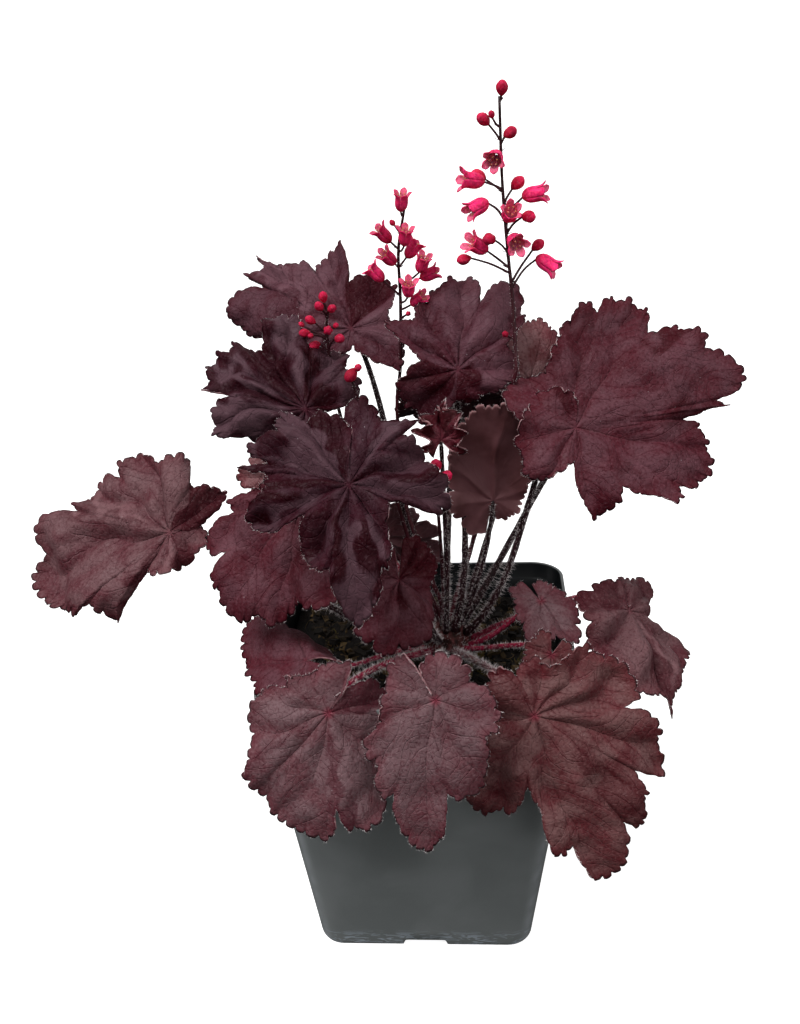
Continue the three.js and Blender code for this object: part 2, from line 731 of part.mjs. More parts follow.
/** Open bell: a belly that opens to a mouth of five spread lobes round a hollow throat. */
function buildBell(centre, axis) {
  const sides = FLOWER.bellSides;
  const step = Math.PI / sides;
  const at = (along) => centre.clone().addScaledVector(axis, along);
  const ring = ([along, radius], start) => turnedRing(at(along), axis, radius, sides, start);
  const vertices = [
    ...ring(BELL.back, 0),
    ...ring(BELL.belly, 0),
    ...ring(BELL.lobe, 0),
    ...ring(BELL.notch, step),
    at(BELL.throat).toArray(),
  ];
  const [belly, lobe, notch, throat] = [sides, 2 * sides, 3 * sides, 4 * sides];
  const triangles = [];
  for (let i = 0; i < sides; i += 1) {
    const j = (i + 1) % sides;
    triangles.push([i, j, belly + j], [i, belly + j, belly + i]);
    triangles.push([belly + i, notch + i, lobe + i], [belly + i, belly + j, notch + i]);
    triangles.push([belly + j, lobe + j, notch + i]);
    triangles.push([lobe + i, notch + i, throat], [notch + i, lobe + j, throat]);
  }
  for (let i = 1; i + 1 < sides; i += 1) {
    triangles.push([0, i + 1, i]);
  }
  return solid(vertices, triangles);
}

const HEADS = {
  bud: (centre, axis) => turned(centre, axis, BUD, FLOWER.bellSides),
  small: (centre, axis) => turned(centre, axis, SMALL_BUD, FLOWER.smallSides),
  bell: buildBell,
};
const HEAD_BACK = { bud: 2.4, small: 1.4, bell: 4.8 };

/** Point of the stem at a height. */
function stemPoint(path, z) {
  for (let k = 0; k + 1 < path.length; k += 1) {
    const [a, b] = [path[k], path[k + 1]];
    if (a.z >= z && b.z <= z) {
      return a.clone().lerp(b, (a.z - z) / (a.z - b.z));
    }
  }
  return path[0].clone();
}

/** Whole scape: its stem with a pedicel to every bud and bell. */
function buildScape(scape) {
  const { place, out } = seatOf(scape.seat);
  const path = scape.stem.map((p) => vec(...p));
  path.push(place.clone().addScaledVector(out, 9), place);
  let plant = tube(path, (s) => FLOWER.stemTop + (FLOWER.stemFoot - FLOWER.stemTop) * s, FLOWER.stemSides);
  scape.heads.forEach(([kind, x, y, z, at, azimuth, elevation]) => {
    const centre = vec(x, y, z);
    const axis = direction(azimuth, elevation);
    const back = centre.clone().addScaledVector(axis, -HEAD_BACK[kind]);
    const root = stemPoint(path, at);
    const elbow = root.clone().lerp(back, 0.55).addScaledVector(axis, -1.2);
    const pedicel = tube([root, elbow, back], () => FLOWER.pedicel, FLOWER.pedicelSides);
    plant = plant.add(pedicel).add(HEADS[kind](centre, axis));
  });
  return plant;
}

// ---------------------------------------------------------------- assembly

/** Mesh of a solid, named, with its material. */
function toMesh(name, body, look) {
  const mesh = body.getMesh();
  const geometry = new THREE.BufferGeometry();
  const positions = [];
  for (let i = 0; i < mesh.numVert; i += 1) {
    positions.push(
      mesh.vertProperties[i * mesh.numProp],
      mesh.vertProperties[i * mesh.numProp + 1],
      mesh.vertProperties[i * mesh.numProp + 2],
    );
  }
  geometry.setAttribute('position', new THREE.BufferAttribute(Float32Array.from(positions), 3));
  geometry.setIndex(Array.from(mesh.triVerts));
  geometry.computeVertexNormals();
  const material = new THREE.MeshStandardMaterial({ ...MATERIALS[look], metalness: 0 });
  const result = new THREE.Mesh(geometry, material);
  result.name = name;
  return result;
}

const plant = new THREE.Group();
plant.name = 'heuchera';
plant.add(toMesh('pot', buildPot(), 'pot'));
plant.add(toMesh('soil', buildSoil(), 'soil'));
plant.add(toMesh('crown', buildCrown(), 'crown'));
LEAVES.forEach((leaf) => {
  const look = leaf.hub[2] < 170 ? 'lower' : 'upper';
  plant.add(toMesh(`leaf_${leaf.name}`, buildLeaf(leaf), look));
});
SCAPES.forEach((scape) => {
  plant.add(toMesh(`scape_${scape.name}`, buildScape(scape), 'scape'));
});

export default plant;
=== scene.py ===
"""Looks of a heuchera plant that grows in a square nursery pot.

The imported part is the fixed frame. The pot, the soil, the crown, every leaf and every flower scape
get a finer piece that stands for its node. Sizes are in millimetres until a mesh is written, which
is in metres. The pot stands on z = 0 with its front towards -Y.
"""

from __future__ import annotations

import logging
import math
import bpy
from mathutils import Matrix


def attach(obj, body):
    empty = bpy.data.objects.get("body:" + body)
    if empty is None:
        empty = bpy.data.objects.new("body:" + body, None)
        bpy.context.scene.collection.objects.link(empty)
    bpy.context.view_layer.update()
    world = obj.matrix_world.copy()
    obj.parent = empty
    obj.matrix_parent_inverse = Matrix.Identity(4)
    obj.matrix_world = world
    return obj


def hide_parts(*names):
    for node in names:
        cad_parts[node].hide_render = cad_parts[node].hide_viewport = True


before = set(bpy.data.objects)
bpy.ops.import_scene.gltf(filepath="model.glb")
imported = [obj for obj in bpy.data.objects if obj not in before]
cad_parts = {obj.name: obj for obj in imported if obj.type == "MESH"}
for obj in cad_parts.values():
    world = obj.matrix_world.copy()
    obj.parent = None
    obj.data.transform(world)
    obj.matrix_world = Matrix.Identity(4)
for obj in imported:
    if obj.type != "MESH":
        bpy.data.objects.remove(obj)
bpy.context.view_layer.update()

import zlib
from collections.abc import Sequence
from dataclasses import dataclass, field
from enum import Enum, IntEnum

import bpy
import numpy as np
from mathutils import Matrix, Vector

Array = np.ndarray
Socket = bpy.types.NodeSocket
Pair = tuple[float, float]
Triple = tuple[float, float, float]

log = logging.getLogger("heuchera")
MM = 0.001


# ---------------------------------------------------------------- vectors and noise


def unit(vectors: Array) -> Array:
    """Vectors divided by their own lengths."""
    return vectors / np.maximum(np.linalg.norm(vectors, axis=-1, keepdims=True), 1e-9)


def aim(azimuth: float, elevation: float) -> Array:
    """Unit vector of an azimuth (0 towards -Y, + towards +X) and an elevation, in degrees."""
    a, e = math.radians(azimuth), math.radians(elevation)
    return np.array([math.sin(a) * math.cos(e), -math.cos(a) * math.cos(e), math.sin(e)])


def draws(name: str) -> np.random.Generator:
    """Random draws that depend on a name alone, so that every run gives the same piece."""
    return np.random.default_rng(zlib.crc32(name.encode()))


def ripple(points: Array, wavelength: float, draw: np.random.Generator, waves: int = 10) -> Array:
    """Smooth noise, mostly from -1 to 1: the sum of plane waves of random ways and phases.

    Args:
        points: places, (..., 3), in mm.
        wavelength: middle wavelength of the waves, in mm.
        draw: where the random numbers come from.
        waves: how many waves are added.

    Returns:
        One value per place.
    """
    ways = unit(draw.normal(size=(waves, 3))) * draw.uniform(0.7, 1.4, (waves, 1))
    phases = draw.uniform(0, 2 * np.pi, waves)
    turns = points @ (ways.T * (2 * np.pi / wavelength)) + phases
    return np.sin(turns).sum(-1) * (1.4 / math.sqrt(waves))


def smooth(values: Array, low: float, high: float) -> Array:
    """0 below low, 1 above high and 3t^2 - 2t^3 between them."""
    t = np.clip((values - low) / (high - low), 0, 1)
    return t * t * (3 - 2 * t)


def dip(t: Array, wide: float = 0.5) -> Array:
    """Dip from 0 at both crests to 1 in the notch half way, t from 0 to 1: 1 - (1 - v^2)^wide.

    At wide 0.5 the crests are quarter rounds with a sharp notch; a larger value widens the notch.
    """
    v = 1 - np.abs(2 * t - 1)
    return 1 - np.maximum(1 - v * v, 0) ** wide


# ---------------------------------------------------------------- mesh drafts


def ring_quads(rows: int, count: int, closed: bool = True) -> Array:
    """Quads between rows of points: the index in row k and column i is k * count + i.

    Args:
        rows: number of rows.
        count: points in each row.
        closed: whether the last column joins the first.

    Returns:
        (m, 4) indices; a row turns counter-clockwise seen from the last row's side.
    """
    k, i = np.meshgrid(np.arange(rows - 1), np.arange(count if closed else count - 1), indexing="ij")
    j = (i + 1) % count
    return np.stack([k * count + i, k * count + j, (k + 1) * count + j, (k + 1) * count + i],
                    axis=-1).reshape(-1, 4)


def capped(rows: int, count: int) -> list[Array]:
    """Faces of a closed bar: quads between its rings and a fan of triangles over each end.

    Args:
        rows: number of rings.
        count: points in each ring.

    Returns:
        The face groups. The first ring's middle is point rows * count, the last ring's the next.
    """
    i = np.arange(count)
    j = (i + 1) % count
    last = (rows - 1) * count
    foot = np.stack([np.full(count, rows * count), j, i], axis=-1)
    cap = np.stack([np.full(count, rows * count + 1), last + i, last + j], axis=-1)
    return [ring_quads(rows, count), foot, cap]


def vertex_normals(points: Array, faces: Sequence[Array]) -> Array:
    """Unit normals at the points: the sum of the area normals of the faces round each.

    Args:
        points: (n, 3) places.
        faces: groups of faces on them.

    Returns:
        (n, 3) normals.
    """
    total = np.zeros_like(points)
    for group in faces:
        a, b, c = (points[group[:, i]] for i in (0, 1, -1))
        normal = np.cross(b - a, c - a)
        for column in range(group.shape[1]):
            np.add.at(total, group[:, column], normal)
    return unit(total)


@dataclass
class Draft:
    """Points and faces gathered for one piece, in mm, with named values at the points."""

    points: list[Array] = field(default_factory=list)
    faces: list[tuple[Array, int, bool]] = field(default_factory=list)
    marks: list[dict[str, Array]] = field(default_factory=list)
    count: int = 0

    def add(self, points: Array, faces: Sequence[Array], material: int, flat: bool = False,
            **marks: Array | float) -> int:
        """Adds points and their faces.

        Args:
            points: (n, 3) places.
            faces: groups of faces, each (m, 3) or (m, 4) indices into these points.
            material: index of the finish.
            flat: whether the faces are shaded flat.
            marks: values at the points, by name.

        Returns:
            Index of the first of these points in the draft.
        """
        first = self.count
        self.points.append(points)
        self.count += len(points)
        self.faces += [(group + first, material, flat) for group in faces if len(group)]
        self.marks.append({k: np.broadcast_to(v, len(points)) for k, v in marks.items()})
        return first

    def more(self, faces: Array, first: int, material: int, flat: bool = False) -> None:
        """Adds faces on points that the draft already holds from index first on."""
        self.faces.append((faces + first, material, flat))

    def build(self, name: str, finishes: Sequence[bpy.types.Material]) -> bpy.types.Object:
        """Writes the draft into a mesh object at the origin.

        Args:
            name: name of the object.
            finishes: materials in the order of the draft's indices.

        Returns:
            The object, linked to the scene.
        """
        loops = np.concatenate([group.ravel() for group, _, _ in self.faces])
        sizes = np.concatenate([np.full(len(g), g.shape[1]) for g, _, _ in self.faces])
        slots = np.concatenate([np.full(len(g), m) for g, m, _ in self.faces])
        flats = np.concatenate([np.full(len(g), f) for g, _, f in self.faces])
        mesh = bpy.data.meshes.new(name)
        mesh.vertices.add(self.count)
        mesh.vertices.foreach_set("co", (np.concatenate(self.points) * MM).astype(np.float32).ravel())
        mesh.loops.add(len(loops))
        mesh.loops.foreach_set("vertex_index", loops.astype(np.int32))
        mesh.polygons.add(len(sizes))
        mesh.polygons.foreach_set("loop_start", (np.cumsum(sizes) - sizes).astype(np.int32))
        mesh.polygons.foreach_set("material_index", slots.astype(np.int32))
        mesh.polygons.foreach_set("use_smooth", ~flats)
        for key in sorted({k for marks in self.marks for k in marks}):
            values = np.concatenate([
                marks.get(key, np.zeros(len(points))) for marks, points in zip(self.marks, self.points)
            ])
            attribute = mesh.attributes.new(key, "FLOAT", "POINT")
            attribute.data.foreach_set("value", values.astype(np.float32))
        mesh.update(calc_edges=True)
        mesh.validate()
        for finish in finishes:
            mesh.materials.append(finish)
        piece = bpy.data.objects.new(name, mesh)
        bpy.context.scene.collection.objects.link(piece)
        return piece


def thicken(points: Array, faces: Sequence[Array], loop: Array, above: Array | float,
            below: Array | float) -> tuple[Array, list[Array], list[Array], Array]:
    """Closed solid of a sheet: each point moves along its normal to both sides.

    Args:
        points: (n, 3) places of the sheet.
        faces: face groups that turn counter-clockwise seen from above.
        loop: indices round the sheet's border, counter-clockwise seen from above.
        above: distance to the upper face, one for all or one per point.
        below: distance to the lower face.

    Returns:
        The 2n points, the upper faces, the lower faces and the border's quads.
    """
    count = len(points)
    normals = vertex_normals(points, faces)
    top = points + normals * np.broadcast_to(above, count)[:, None]
    bottom = points - normals * np.broadcast_to(below, count)[:, None]
    lower = [group[:, ::-1] + count for group in faces]
    after = np.roll(loop, -1)
    rim = np.stack([loop + count, after + count, after, loop], axis=-1)
    return np.concatenate([top, bottom]), list(faces), lower, rim


def sheet_loop(rows: int, count: int) -> Array:
    """Indices round a grid of rows by count points, counter-clockwise as ring_quads turns."""
    grid = np.arange(rows * count).reshape(rows, count)
    return np.concatenate([grid[0, :-1], grid[:-1, -1], grid[-1, :0:-1], grid[:0:-1, 0]])


def add_sheet(draft: Draft, grid: Array, thickness: float, material: int, **marks: Array | float) -> None:
    """Adds a thin closed sheet over a grid of points.

    Args:
        draft: where it goes.
        grid: (rows, count, 3) points of its middle surface.
        thickness: distance between its faces.
        material: index of the finish.
        marks: values, one for all or one per point.
    """
    rows, count = grid.shape[:2]
    faces = [ring_quads(rows, count, closed=False)]
    points, upper, lower, rim = thicken(
        grid.reshape(-1, 3), faces, sheet_loop(rows, count), thickness / 2, thickness / 2)
    doubled = {k: np.tile(np.broadcast_to(v, rows * count), 2) for k, v in marks.items()}
    first = draft.add(points, upper + lower, material, **doubled)
    draft.more(rim, first, material, flat=True)


@dataclass
class SubAssembly:
    """What every sub-assembly starts with: the empty draft of its piece."""

    draft: Draft = field(default_factory=Draft, init=False)


def path_frames(path: Array) -> tuple[Array, Array, Array]:
    """Directions along a path and two across it: the reference is the way that it turns least to.

    Args:
        path: (n, 3) points.

    Returns:
        Three (n, 3) arrays of unit vectors, square to each other.
    """
    along = unit(np.gradient(path, axis=0))
    reference = np.linalg.eigh(along.T @ along)[1][:, 0]
    side = unit(reference - (along @ reference)[:, None] * along)
    return along, side, np.cross(along, side)


def add_tube(draft: Draft, path: Array, radius: Array, sides: int, material: int,
             **marks: Array | float) -> None:
    """Adds a closed round bar: at each point of the path a ring of its own radius across the path.

    Args:
        draft: where it goes.
        path: (n, 3) points.
        radius: (n,) radii, or (n, sides).
        sides: corners of each ring.
        material: index of the finish.
        marks: values, one for all or one per path point.
    """
    _, side, other = path_frames(path)
    turn = np.linspace(0, 2 * np.pi, sides, endpoint=False)
    spoke = np.cos(turn)[None, :, None] * side[:, None] + np.sin(turn)[None, :, None] * other[:, None]
    reach = radius[:, None] if radius.ndim == 1 else radius
    rings = path[:, None] + spoke * reach[..., None]
    spread = {}
    for key, value in marks.items():
        values = np.broadcast_to(value, len(path))
        spread[key] = np.concatenate([np.repeat(values, sides), values[[0, -1]]])
    points = np.concatenate([rings.reshape(-1, 3), path[[0, -1]]])
    draft.add(points, capped(len(path), sides), material, **spread)


def add_hairs(draft: Draft, roots: Array, ways: Array, lengths: Array, radius: float,
              material: int) -> None:
    """Adds closed spikes on three-cornered feet, the corners a third of a turn apart.

    Args:
        draft: where they go.
        roots: (n, 3) middles of the feet.
        ways: (n, 3) unit vectors.
        lengths: (n,) heights of the spikes.
        radius: from a foot's middle to its corners.
        material: index of the finish.
    """
    count = len(roots)
    reference = np.where(np.abs(ways[:, 2:]) < 0.9, [[0.0, 0.0, 1.0]], [[1.0, 0.0, 0.0]])
    side = unit(np.cross(ways, reference))
    other = np.cross(ways, side)
    corners = [roots + radius * (math.cos(a) * side + math.sin(a) * other)
               for a in (0.0, 2.0944, 4.1888)]
    points = np.stack([*corners, roots + ways * lengths[:, None]], axis=1).reshape(-1, 3)
    base = 4 * np.arange(count)[:, None, None]
    spike = np.array([[0, 1, 3], [1, 2, 3], [2, 0, 3], [0, 2, 1]])
    draft.add(points, [(base + spike).reshape(-1, 3)], material, flat=True)


def stalk_hairs(path: Array, radius: Array, spot: Array, sunk: float, stray: float,
                draw: np.random.Generator) -> tuple[Array, Array]:
    """Where the hairs of a stalk stand: anywhere round it, straight out with a little stray.

    Args:
        path: (n, 3) points of the stalk's middle line.
        radius: (n,) radii of the stalk.
        spot: (m,) places along it, from 0 at its start to 1 at its end.
        sunk: how deep under the skin a hair starts.
        stray: spread of the ways.
        draw: where the random numbers come from.

    Returns:
        The (m, 3) roots and unit ways.
    """
    s = np.linspace(0, 1, len(path))
    _, side, other = path_frames(path)
    middle, side, other = (np.stack([np.interp(spot, s, c[:, i]) for i in range(3)], axis=-1)
                           for c in (path, side, other))
    spin = draw.uniform(0, 2 * np.pi, len(spot))[:, None]
    spoke = unit(np.cos(spin) * side + np.sin(spin) * other)
    roots = middle + spoke * (np.interp(spot, s, radius) - sunk)[:, None]
    return roots, unit(spoke + draw.normal(0, stray, (len(spot), 3)))


def bezier(a: Array, b: Array, c: Array, d: Array, steps: int) -> Array:
    """Points of a cubic Bezier curve: the four ends weighted by the Bernstein polynomials."""
    t = np.linspace(0, 1, steps + 1)[:, None]
    return (1 - t) ** 3 * a + 3 * (1 - t) ** 2 * t * b + 3 * (1 - t) * t * t * c + t**3 * d


def resample(path: Array, steps: int) -> Array:
    """Smooth curve through a few points: a Catmull-Rom spline.

    Args:
        path: (n, 3) points that it passes through.
        steps: pieces between each two of them.

    Returns:
        The curve's points, ends included.
    """
    ends = np.concatenate([[2 * path[0] - path[1]], path, [2 * path[-1] - path[-2]]])
    t = np.linspace(0, 1, steps, endpoint=False)[None, :, None]
    p0, p1, p2, p3 = (ends[i:len(ends) - 3 + i, None] for i in range(4))
    curve = 0.5 * (2 * p1 + (p2 - p0) * t + (2 * p0 - 5 * p1 + 4 * p2 - p3) * t**2
                   + (3 * p1 - p0 - 3 * p2 + p3) * t**3)
    return np.concatenate([curve.reshape(-1, 3), path[-1:]])


# ---------------------------------------------------------------- finishes


class Paint:
    """One material, built node by node round a Principled shader."""

    def __init__(self, name: str, **sockets: float | tuple[float, ...]) -> None:
        """Starts the material.

        Args:
            name: name of the material.
            sockets: constant values of the shader's inputs, such as Roughness=0.4.
        """
        self.material = bpy.data.materials.new(name)
        self.material.use_nodes = True
        self.tree = self.material.node_tree
        self.shader = self.tree.nodes["Principled BSDF"]
        for key, value in sockets.items():
            self.put(self.shader.inputs[key.replace("_", " ")], value)

    def put(self, socket: Socket, value: Socket | float | tuple[float, ...]) -> None:
        """Gives a node's input its value.

        Args:
            socket: the input.
            value: an output to link it to, a number, or a colour without alpha.
        """
        if isinstance(value, bpy.types.NodeSocket):
            self.tree.links.new(value, socket)
        elif isinstance(value, tuple) and len(value) == 3 and socket.type == "RGBA":
            socket.default_value = (*value, 1.0)
        else:
            socket.default_value = value

    def node(self, kind: str, inputs: dict[str | int, object], **settings: object) -> bpy.types.Node:
        """Adds a node.

        Args:
            kind: its type, without ShaderNode.
            inputs: values or links by the input's name or number.
            settings: its own settings.

        Returns:
            The node.
        """
        made = self.tree.nodes.new("ShaderNode" + kind)
        for key, value in settings.items():
            setattr(made, key, value)
        for key, value in inputs.items():
            self.put(made.inputs[key], value)
        return made

    def mark(self, name: str) -> Socket:
        """Value of a named attribute at the points."""
        return self.node("Attribute", {}, attribute_name=name).outputs["Fac"]

    def place(self) -> Socket:
        """Object coordinates, in metres."""
        return self.node("TexCoord", {}).outputs["Object"]

    def noise(self, size: float, detail: float = 2.0, distortion: float = 0.0,
              stretch: Triple | None = None) -> Socket:
        """Noise from 0 to 1.

        Args:
            size: about how wide its lumps are, in mm.
            detail: octaves of finer noise.
            distortion: how far it is swirled.
            stretch: factors on the three coordinates, where it isn't even.

        Returns:
            The noise.
        """
        where = self.place()
        if stretch is not None:
            where = self.node("Mapping", {"Vector": where, "Scale": stretch}).outputs[0]
        made = self.node("TexNoise", {"Vector": where, "Scale": 1 / (size * MM), "Detail": detail,
                                      "Distortion": distortion})
        return made.outputs["Fac"]

    def cells(self, size: float, feature: str = "DISTANCE_TO_EDGE") -> Socket:
        """Voronoi distance over cells of about size mm."""
        made = self.node("TexVoronoi", {"Vector": self.place(), "Scale": 1 / (size * MM)},
                         feature=feature)
        return made.outputs["Distance"]

    def math(self, kind: str, a: Socket | float, b: Socket | float = 0.0) -> Socket:
        """Math node of a kind on one or two values."""
        return self.node("Math", {0: a, 1: b}, operation=kind).outputs[0]

    def range(self, value: Socket, low: float, high: float, to_low: float = 0.0,
              to_high: float = 1.0) -> Socket:
        """Smooth step of a value from low to high, onto to_low to to_high."""
        made = self.node("MapRange", {"Value": value, "From Min": low, "From Max": high,
                                      "To Min": to_low, "To Max": to_high},
                         interpolation_type="SMOOTHSTEP")
        return made.outputs[0]

    def mix(self, factor: Socket | float, a: Socket | Triple, b: Socket | Triple) -> Socket:
        """Mix of two colours."""
        made = self.node("Mix", {0: factor, 6: a, 7: b}, data_type="RGBA")
        return made.outputs[2]

    def coat(self, skin: Socket | Triple, colour: Triple, mask: Socket, amount: Socket | float) -> Socket:
        """Skin with a colour over it where the mask is, by an amount."""
        return self.mix(self.math("MULTIPLY", mask, amount), skin, colour)

    def cover(self, skin: Socket | Triple, colour: Triple, value: Socket, *steps: float) -> Socket:
        """Skin with a colour over it as the smooth step of a value says; the steps are range's."""
        return self.mix(self.range(value, *steps), skin, colour)

    def total(self, *parts: tuple[Socket, float]) -> Socket:
        """Sum of several values, each times its weight.

        Args:
            parts: pairs of a value and its weight.

        Returns:
            The sum.
        """
        first, *others = [self.math("MULTIPLY", value, weight) for value, weight in parts]
        for other in others:
            first = self.math("ADD", first, other)
        return first

    def bump(self, height: Socket, distance: float, strength: float = 1.0) -> None:
        """Bump of the surface: distance is how far, in mm, a height of 1 stands up."""
        made = self.node("Bump", {"Height": height, "Distance": distance * MM, "Strength": strength})
        self.put(self.shader.inputs["Normal"], made.outputs[0])

    def finish(self, colour: Socket | Triple, roughness: Socket | float | None = None) -> bpy.types.Material:
        """Sets the colour and, where given, the roughness.

        Args:
            colour: base colour.
            roughness: roughness of the surface.

        Returns:
            The material.
        """
        self.put(self.shader.inputs["Base Color"], colour)
        if roughness is not None:
            self.put(self.shader.inputs["Roughness"], roughness)
        return self.material


# Colours that every blade shares.
MARGIN = (0.012, 0.002, 0.004)
HUB = (0.17, 0.007, 0.026)
SPECK = (0.42, 0.36, 0.38)
DRY_EDGE = (0.30, 0.16, 0.16)
DRY_RIM = (0.34, 0.18, 0.19)


@dataclass(frozen=True)
class BladeFinish:
    """Colours and gloss of one kind of leaf blade; glow is how red its hub is."""

    name: str
    body: Triple
    bloom_and_sheen: Triple
    vein: Triple
    under: Triple
    roughness: float
    glow: float = 0.0
    gloss: float = 0.5
    ribs: float = 1.0

    def upper(self) -> bpy.types.Material:
        """Upper side: body colour clouded with bloom and painted sheen, pale sunken veins and a dark margin.

        The painted sheen lies on the crests of pleats and cushions. Over the clouds go the plan's
        sectors of painted shade, in dark wine, and of painted highlight, in pale bloom-grey; fine
        random speckles in these two colours; the red hub and a few pale specks. The skin's puckers
        stand up and the veins lie deep.

        Returns:
            The material.
        """
        paint = Paint(f"{self.name}_upper", Specular_IOR_Level=self.gloss)
        main, side, net = self.veins(paint)
        fine, grain, pucker = paint.noise(1.5, 3), paint.noise(1.1, 4), paint.noise(4.5, 3)
        edge, hub = paint.mark("edge"), paint.mark("hub")
        wine = tuple(c * w for c, w in zip(self.body, (0.95, 0.35, 0.5)))
        # Painted highlight: the bloom-grey of the facets that face the light.
        painted_highlight = tuple(1.5 * c + 0.012 for c in self.bloom_and_sheen)
        # Painted sheen on the crests of pleats and cushions, clouded by random patches.
        patchy = paint.math("MULTIPLY", paint.noise(13, 4, 0.3), 1.1)
        clouds_and_sheen = paint.math("ADD", paint.mark("swell"), patchy)
        skin = paint.cover(self.body, self.bloom_and_sheen, clouds_and_sheen, 0.5, 1.45)
        skin = paint.cover(skin, self.bloom_and_sheen, fine, 0.4, 0.72, 0, 0.45)
        skin = paint.coat(skin, self.vein, net, 0.06)
        skin = paint.coat(skin, self.vein, side, 0.07)
        skin = paint.coat(skin, self.vein, main, paint.range(hub, 4.0, 38.0, 0.34, 0.12))
        # Fine random speckles darkened towards the painted shade colour.
        skin = paint.cover(skin, self.shade(), grain, 0.5, 0.32, 0, 0.5)
        skin = paint.cover(skin, wine, edge, 1.0, 9.0, 0.5, 0.0)
        skin = paint.cover(skin, MARGIN, edge, 0.15, 1.1, 0.85, 0.0)
        # Painted shade in wine and painted highlight in pale bloom-grey, over the plan's sectors.
        skin = paint.coat(skin, self.shade(), paint.mark("wine"), 0.9)
        skin = paint.coat(skin, painted_highlight, paint.mark("pale"), 0.9)
        # Fine random speckles lightened towards the painted highlight colour.
        skin = paint.cover(skin, painted_highlight, grain, 0.54, 0.72, 0, 0.35)
        skin = paint.cover(skin, HUB, hub, 0.4, 3.2, self.glow, 0.0)
        skin = paint.cover(skin, SPECK, paint.cells(7, "F1"), 0.018, 0.034, 0.5, 0.0)
        lines = paint.total((main, 0.8), (side, 0.5), (net, 0.3))
        paint.bump(paint.math("SUBTRACT", paint.total((fine, 0.8), (pucker, 1.6)), lines), 0.42)
        rough = paint.range(pucker, 0.3, 0.7, self.roughness - 0.08, self.roughness + 0.1)
        return paint.finish(skin, rough)

    def shade(self) -> Triple:
        """Painted shade of the sectors that face away from the light: dark wine, half of the body's red,
        little else.
        """
        red, green, blue = self.body
        return 0.52 * red, 0.06 * green, 0.2 * blue

    def lower(self) -> bpy.types.Material:
        """Underside: duller and pinker, with veins that stand out.

        Returns:
            The material.
        """
        paint = Paint(f"{self.name}_lower", Specular_IOR_Level=0.35)
        main, side, net = self.veins(paint)
        skin = paint.cover(self.under, self.body, paint.noise(12, 3), 0.35, 0.7)
        for vein, amount in ((net, 0.25), (side, 0.45), (main, 0.8)):
            skin = paint.coat(skin, self.vein, vein, amount * self.ribs)
        skin = paint.cover(skin, DRY_EDGE, paint.mark("edge"), 0.1, 0.9, 0.6, 0.0)
        lines = paint.math("ADD", main, paint.math("MULTIPLY", side, 0.7))
        height = paint.math("ADD", paint.math("MULTIPLY", paint.noise(1.5, 2), 0.4), lines)
        paint.bump(height, 0.3 * self.ribs)
        return paint.finish(skin, 0.62)

    def rim(self) -> bpy.types.Material:
        """Cut edge of the blade: the body's colour, blotched with a dry pink tint of the veins.

        Returns:
            The material.
        """
        paint = Paint(f"{self.name}_rim", Roughness=0.6, Specular_IOR_Level=0.3)
        tint = tuple(0.3 * a + 0.7 * b for a, b in zip(self.vein, DRY_RIM))
        return paint.finish(paint.cover(self.body, tint, paint.noise(3), 0.32, 0.56))

    @staticmethod
    def veins(paint: Paint) -> tuple[Socket, Socket, Socket]:
        """Masks of the main veins, the side veins that branch from them, and the net between.

        A main vein is where the mark across is near 0, and a side vein where run is near a whole
        number. The net is the borders of small cells.

        Args:
            paint: the material that they are for.

        Returns:
            The three masks, from 0 to 1.
        """
        width = paint.range(paint.mark("edge"), 0, 40, 0.2, 0.65)
        main = paint.math("SUBTRACT", 1, paint.math("DIVIDE", paint.mark("across"), width))
        main = paint.math("MAXIMUM", main, 0)
        half = paint.math("SUBTRACT", paint.math("FRACT", paint.mark("run")), 0.5)
        side = paint.range(paint.math("ABSOLUTE", half), 0.43, 0.5)
        net = paint.range(paint.cells(2.8), 0.0, 0.09, 1.0, 0.0)
        return main, side, net


@dataclass(frozen=True)
class StalkFinish:
    """Colour of a petiole or flower stem, from its foot to its top."""

    name: str
    foot: Triple
    top: Triple
    roughness: float = 0.45

    def material(self) -> bpy.types.Material:
        """Fine lengthwise streaks over a colour that changes along the stalk.

        Returns:
            The material.
        """
        paint = Paint(self.name, Specular_IOR_Level=0.22)
        streak = paint.noise(1.4, 3, 0.2, (1.0, 1.0, 0.12))
        dark = tuple(0.25 * c for c in self.foot)
        colour = paint.mix(paint.mark("along"), self.foot, self.top)
        paint.bump(streak, 0.25)
        return paint.finish(paint.cover(colour, dark, streak, 0.34, 0.68, 0, 0.85), self.roughness)


@dataclass(frozen=True)
class HairFinish:
    """Colour of fine plant hairs."""

    name: str
    colour: Triple

    def material(self) -> bpy.types.Material:
        """Pale, dull hairs with a little variation.

        Returns:
            The material.
        """
        paint = Paint(self.name, Roughness=0.7, Specular_IOR_Level=0.3)
        dim = tuple(0.75 * c for c in self.colour)
        return paint.finish(paint.mix(paint.noise(6, 2), dim, self.colour))


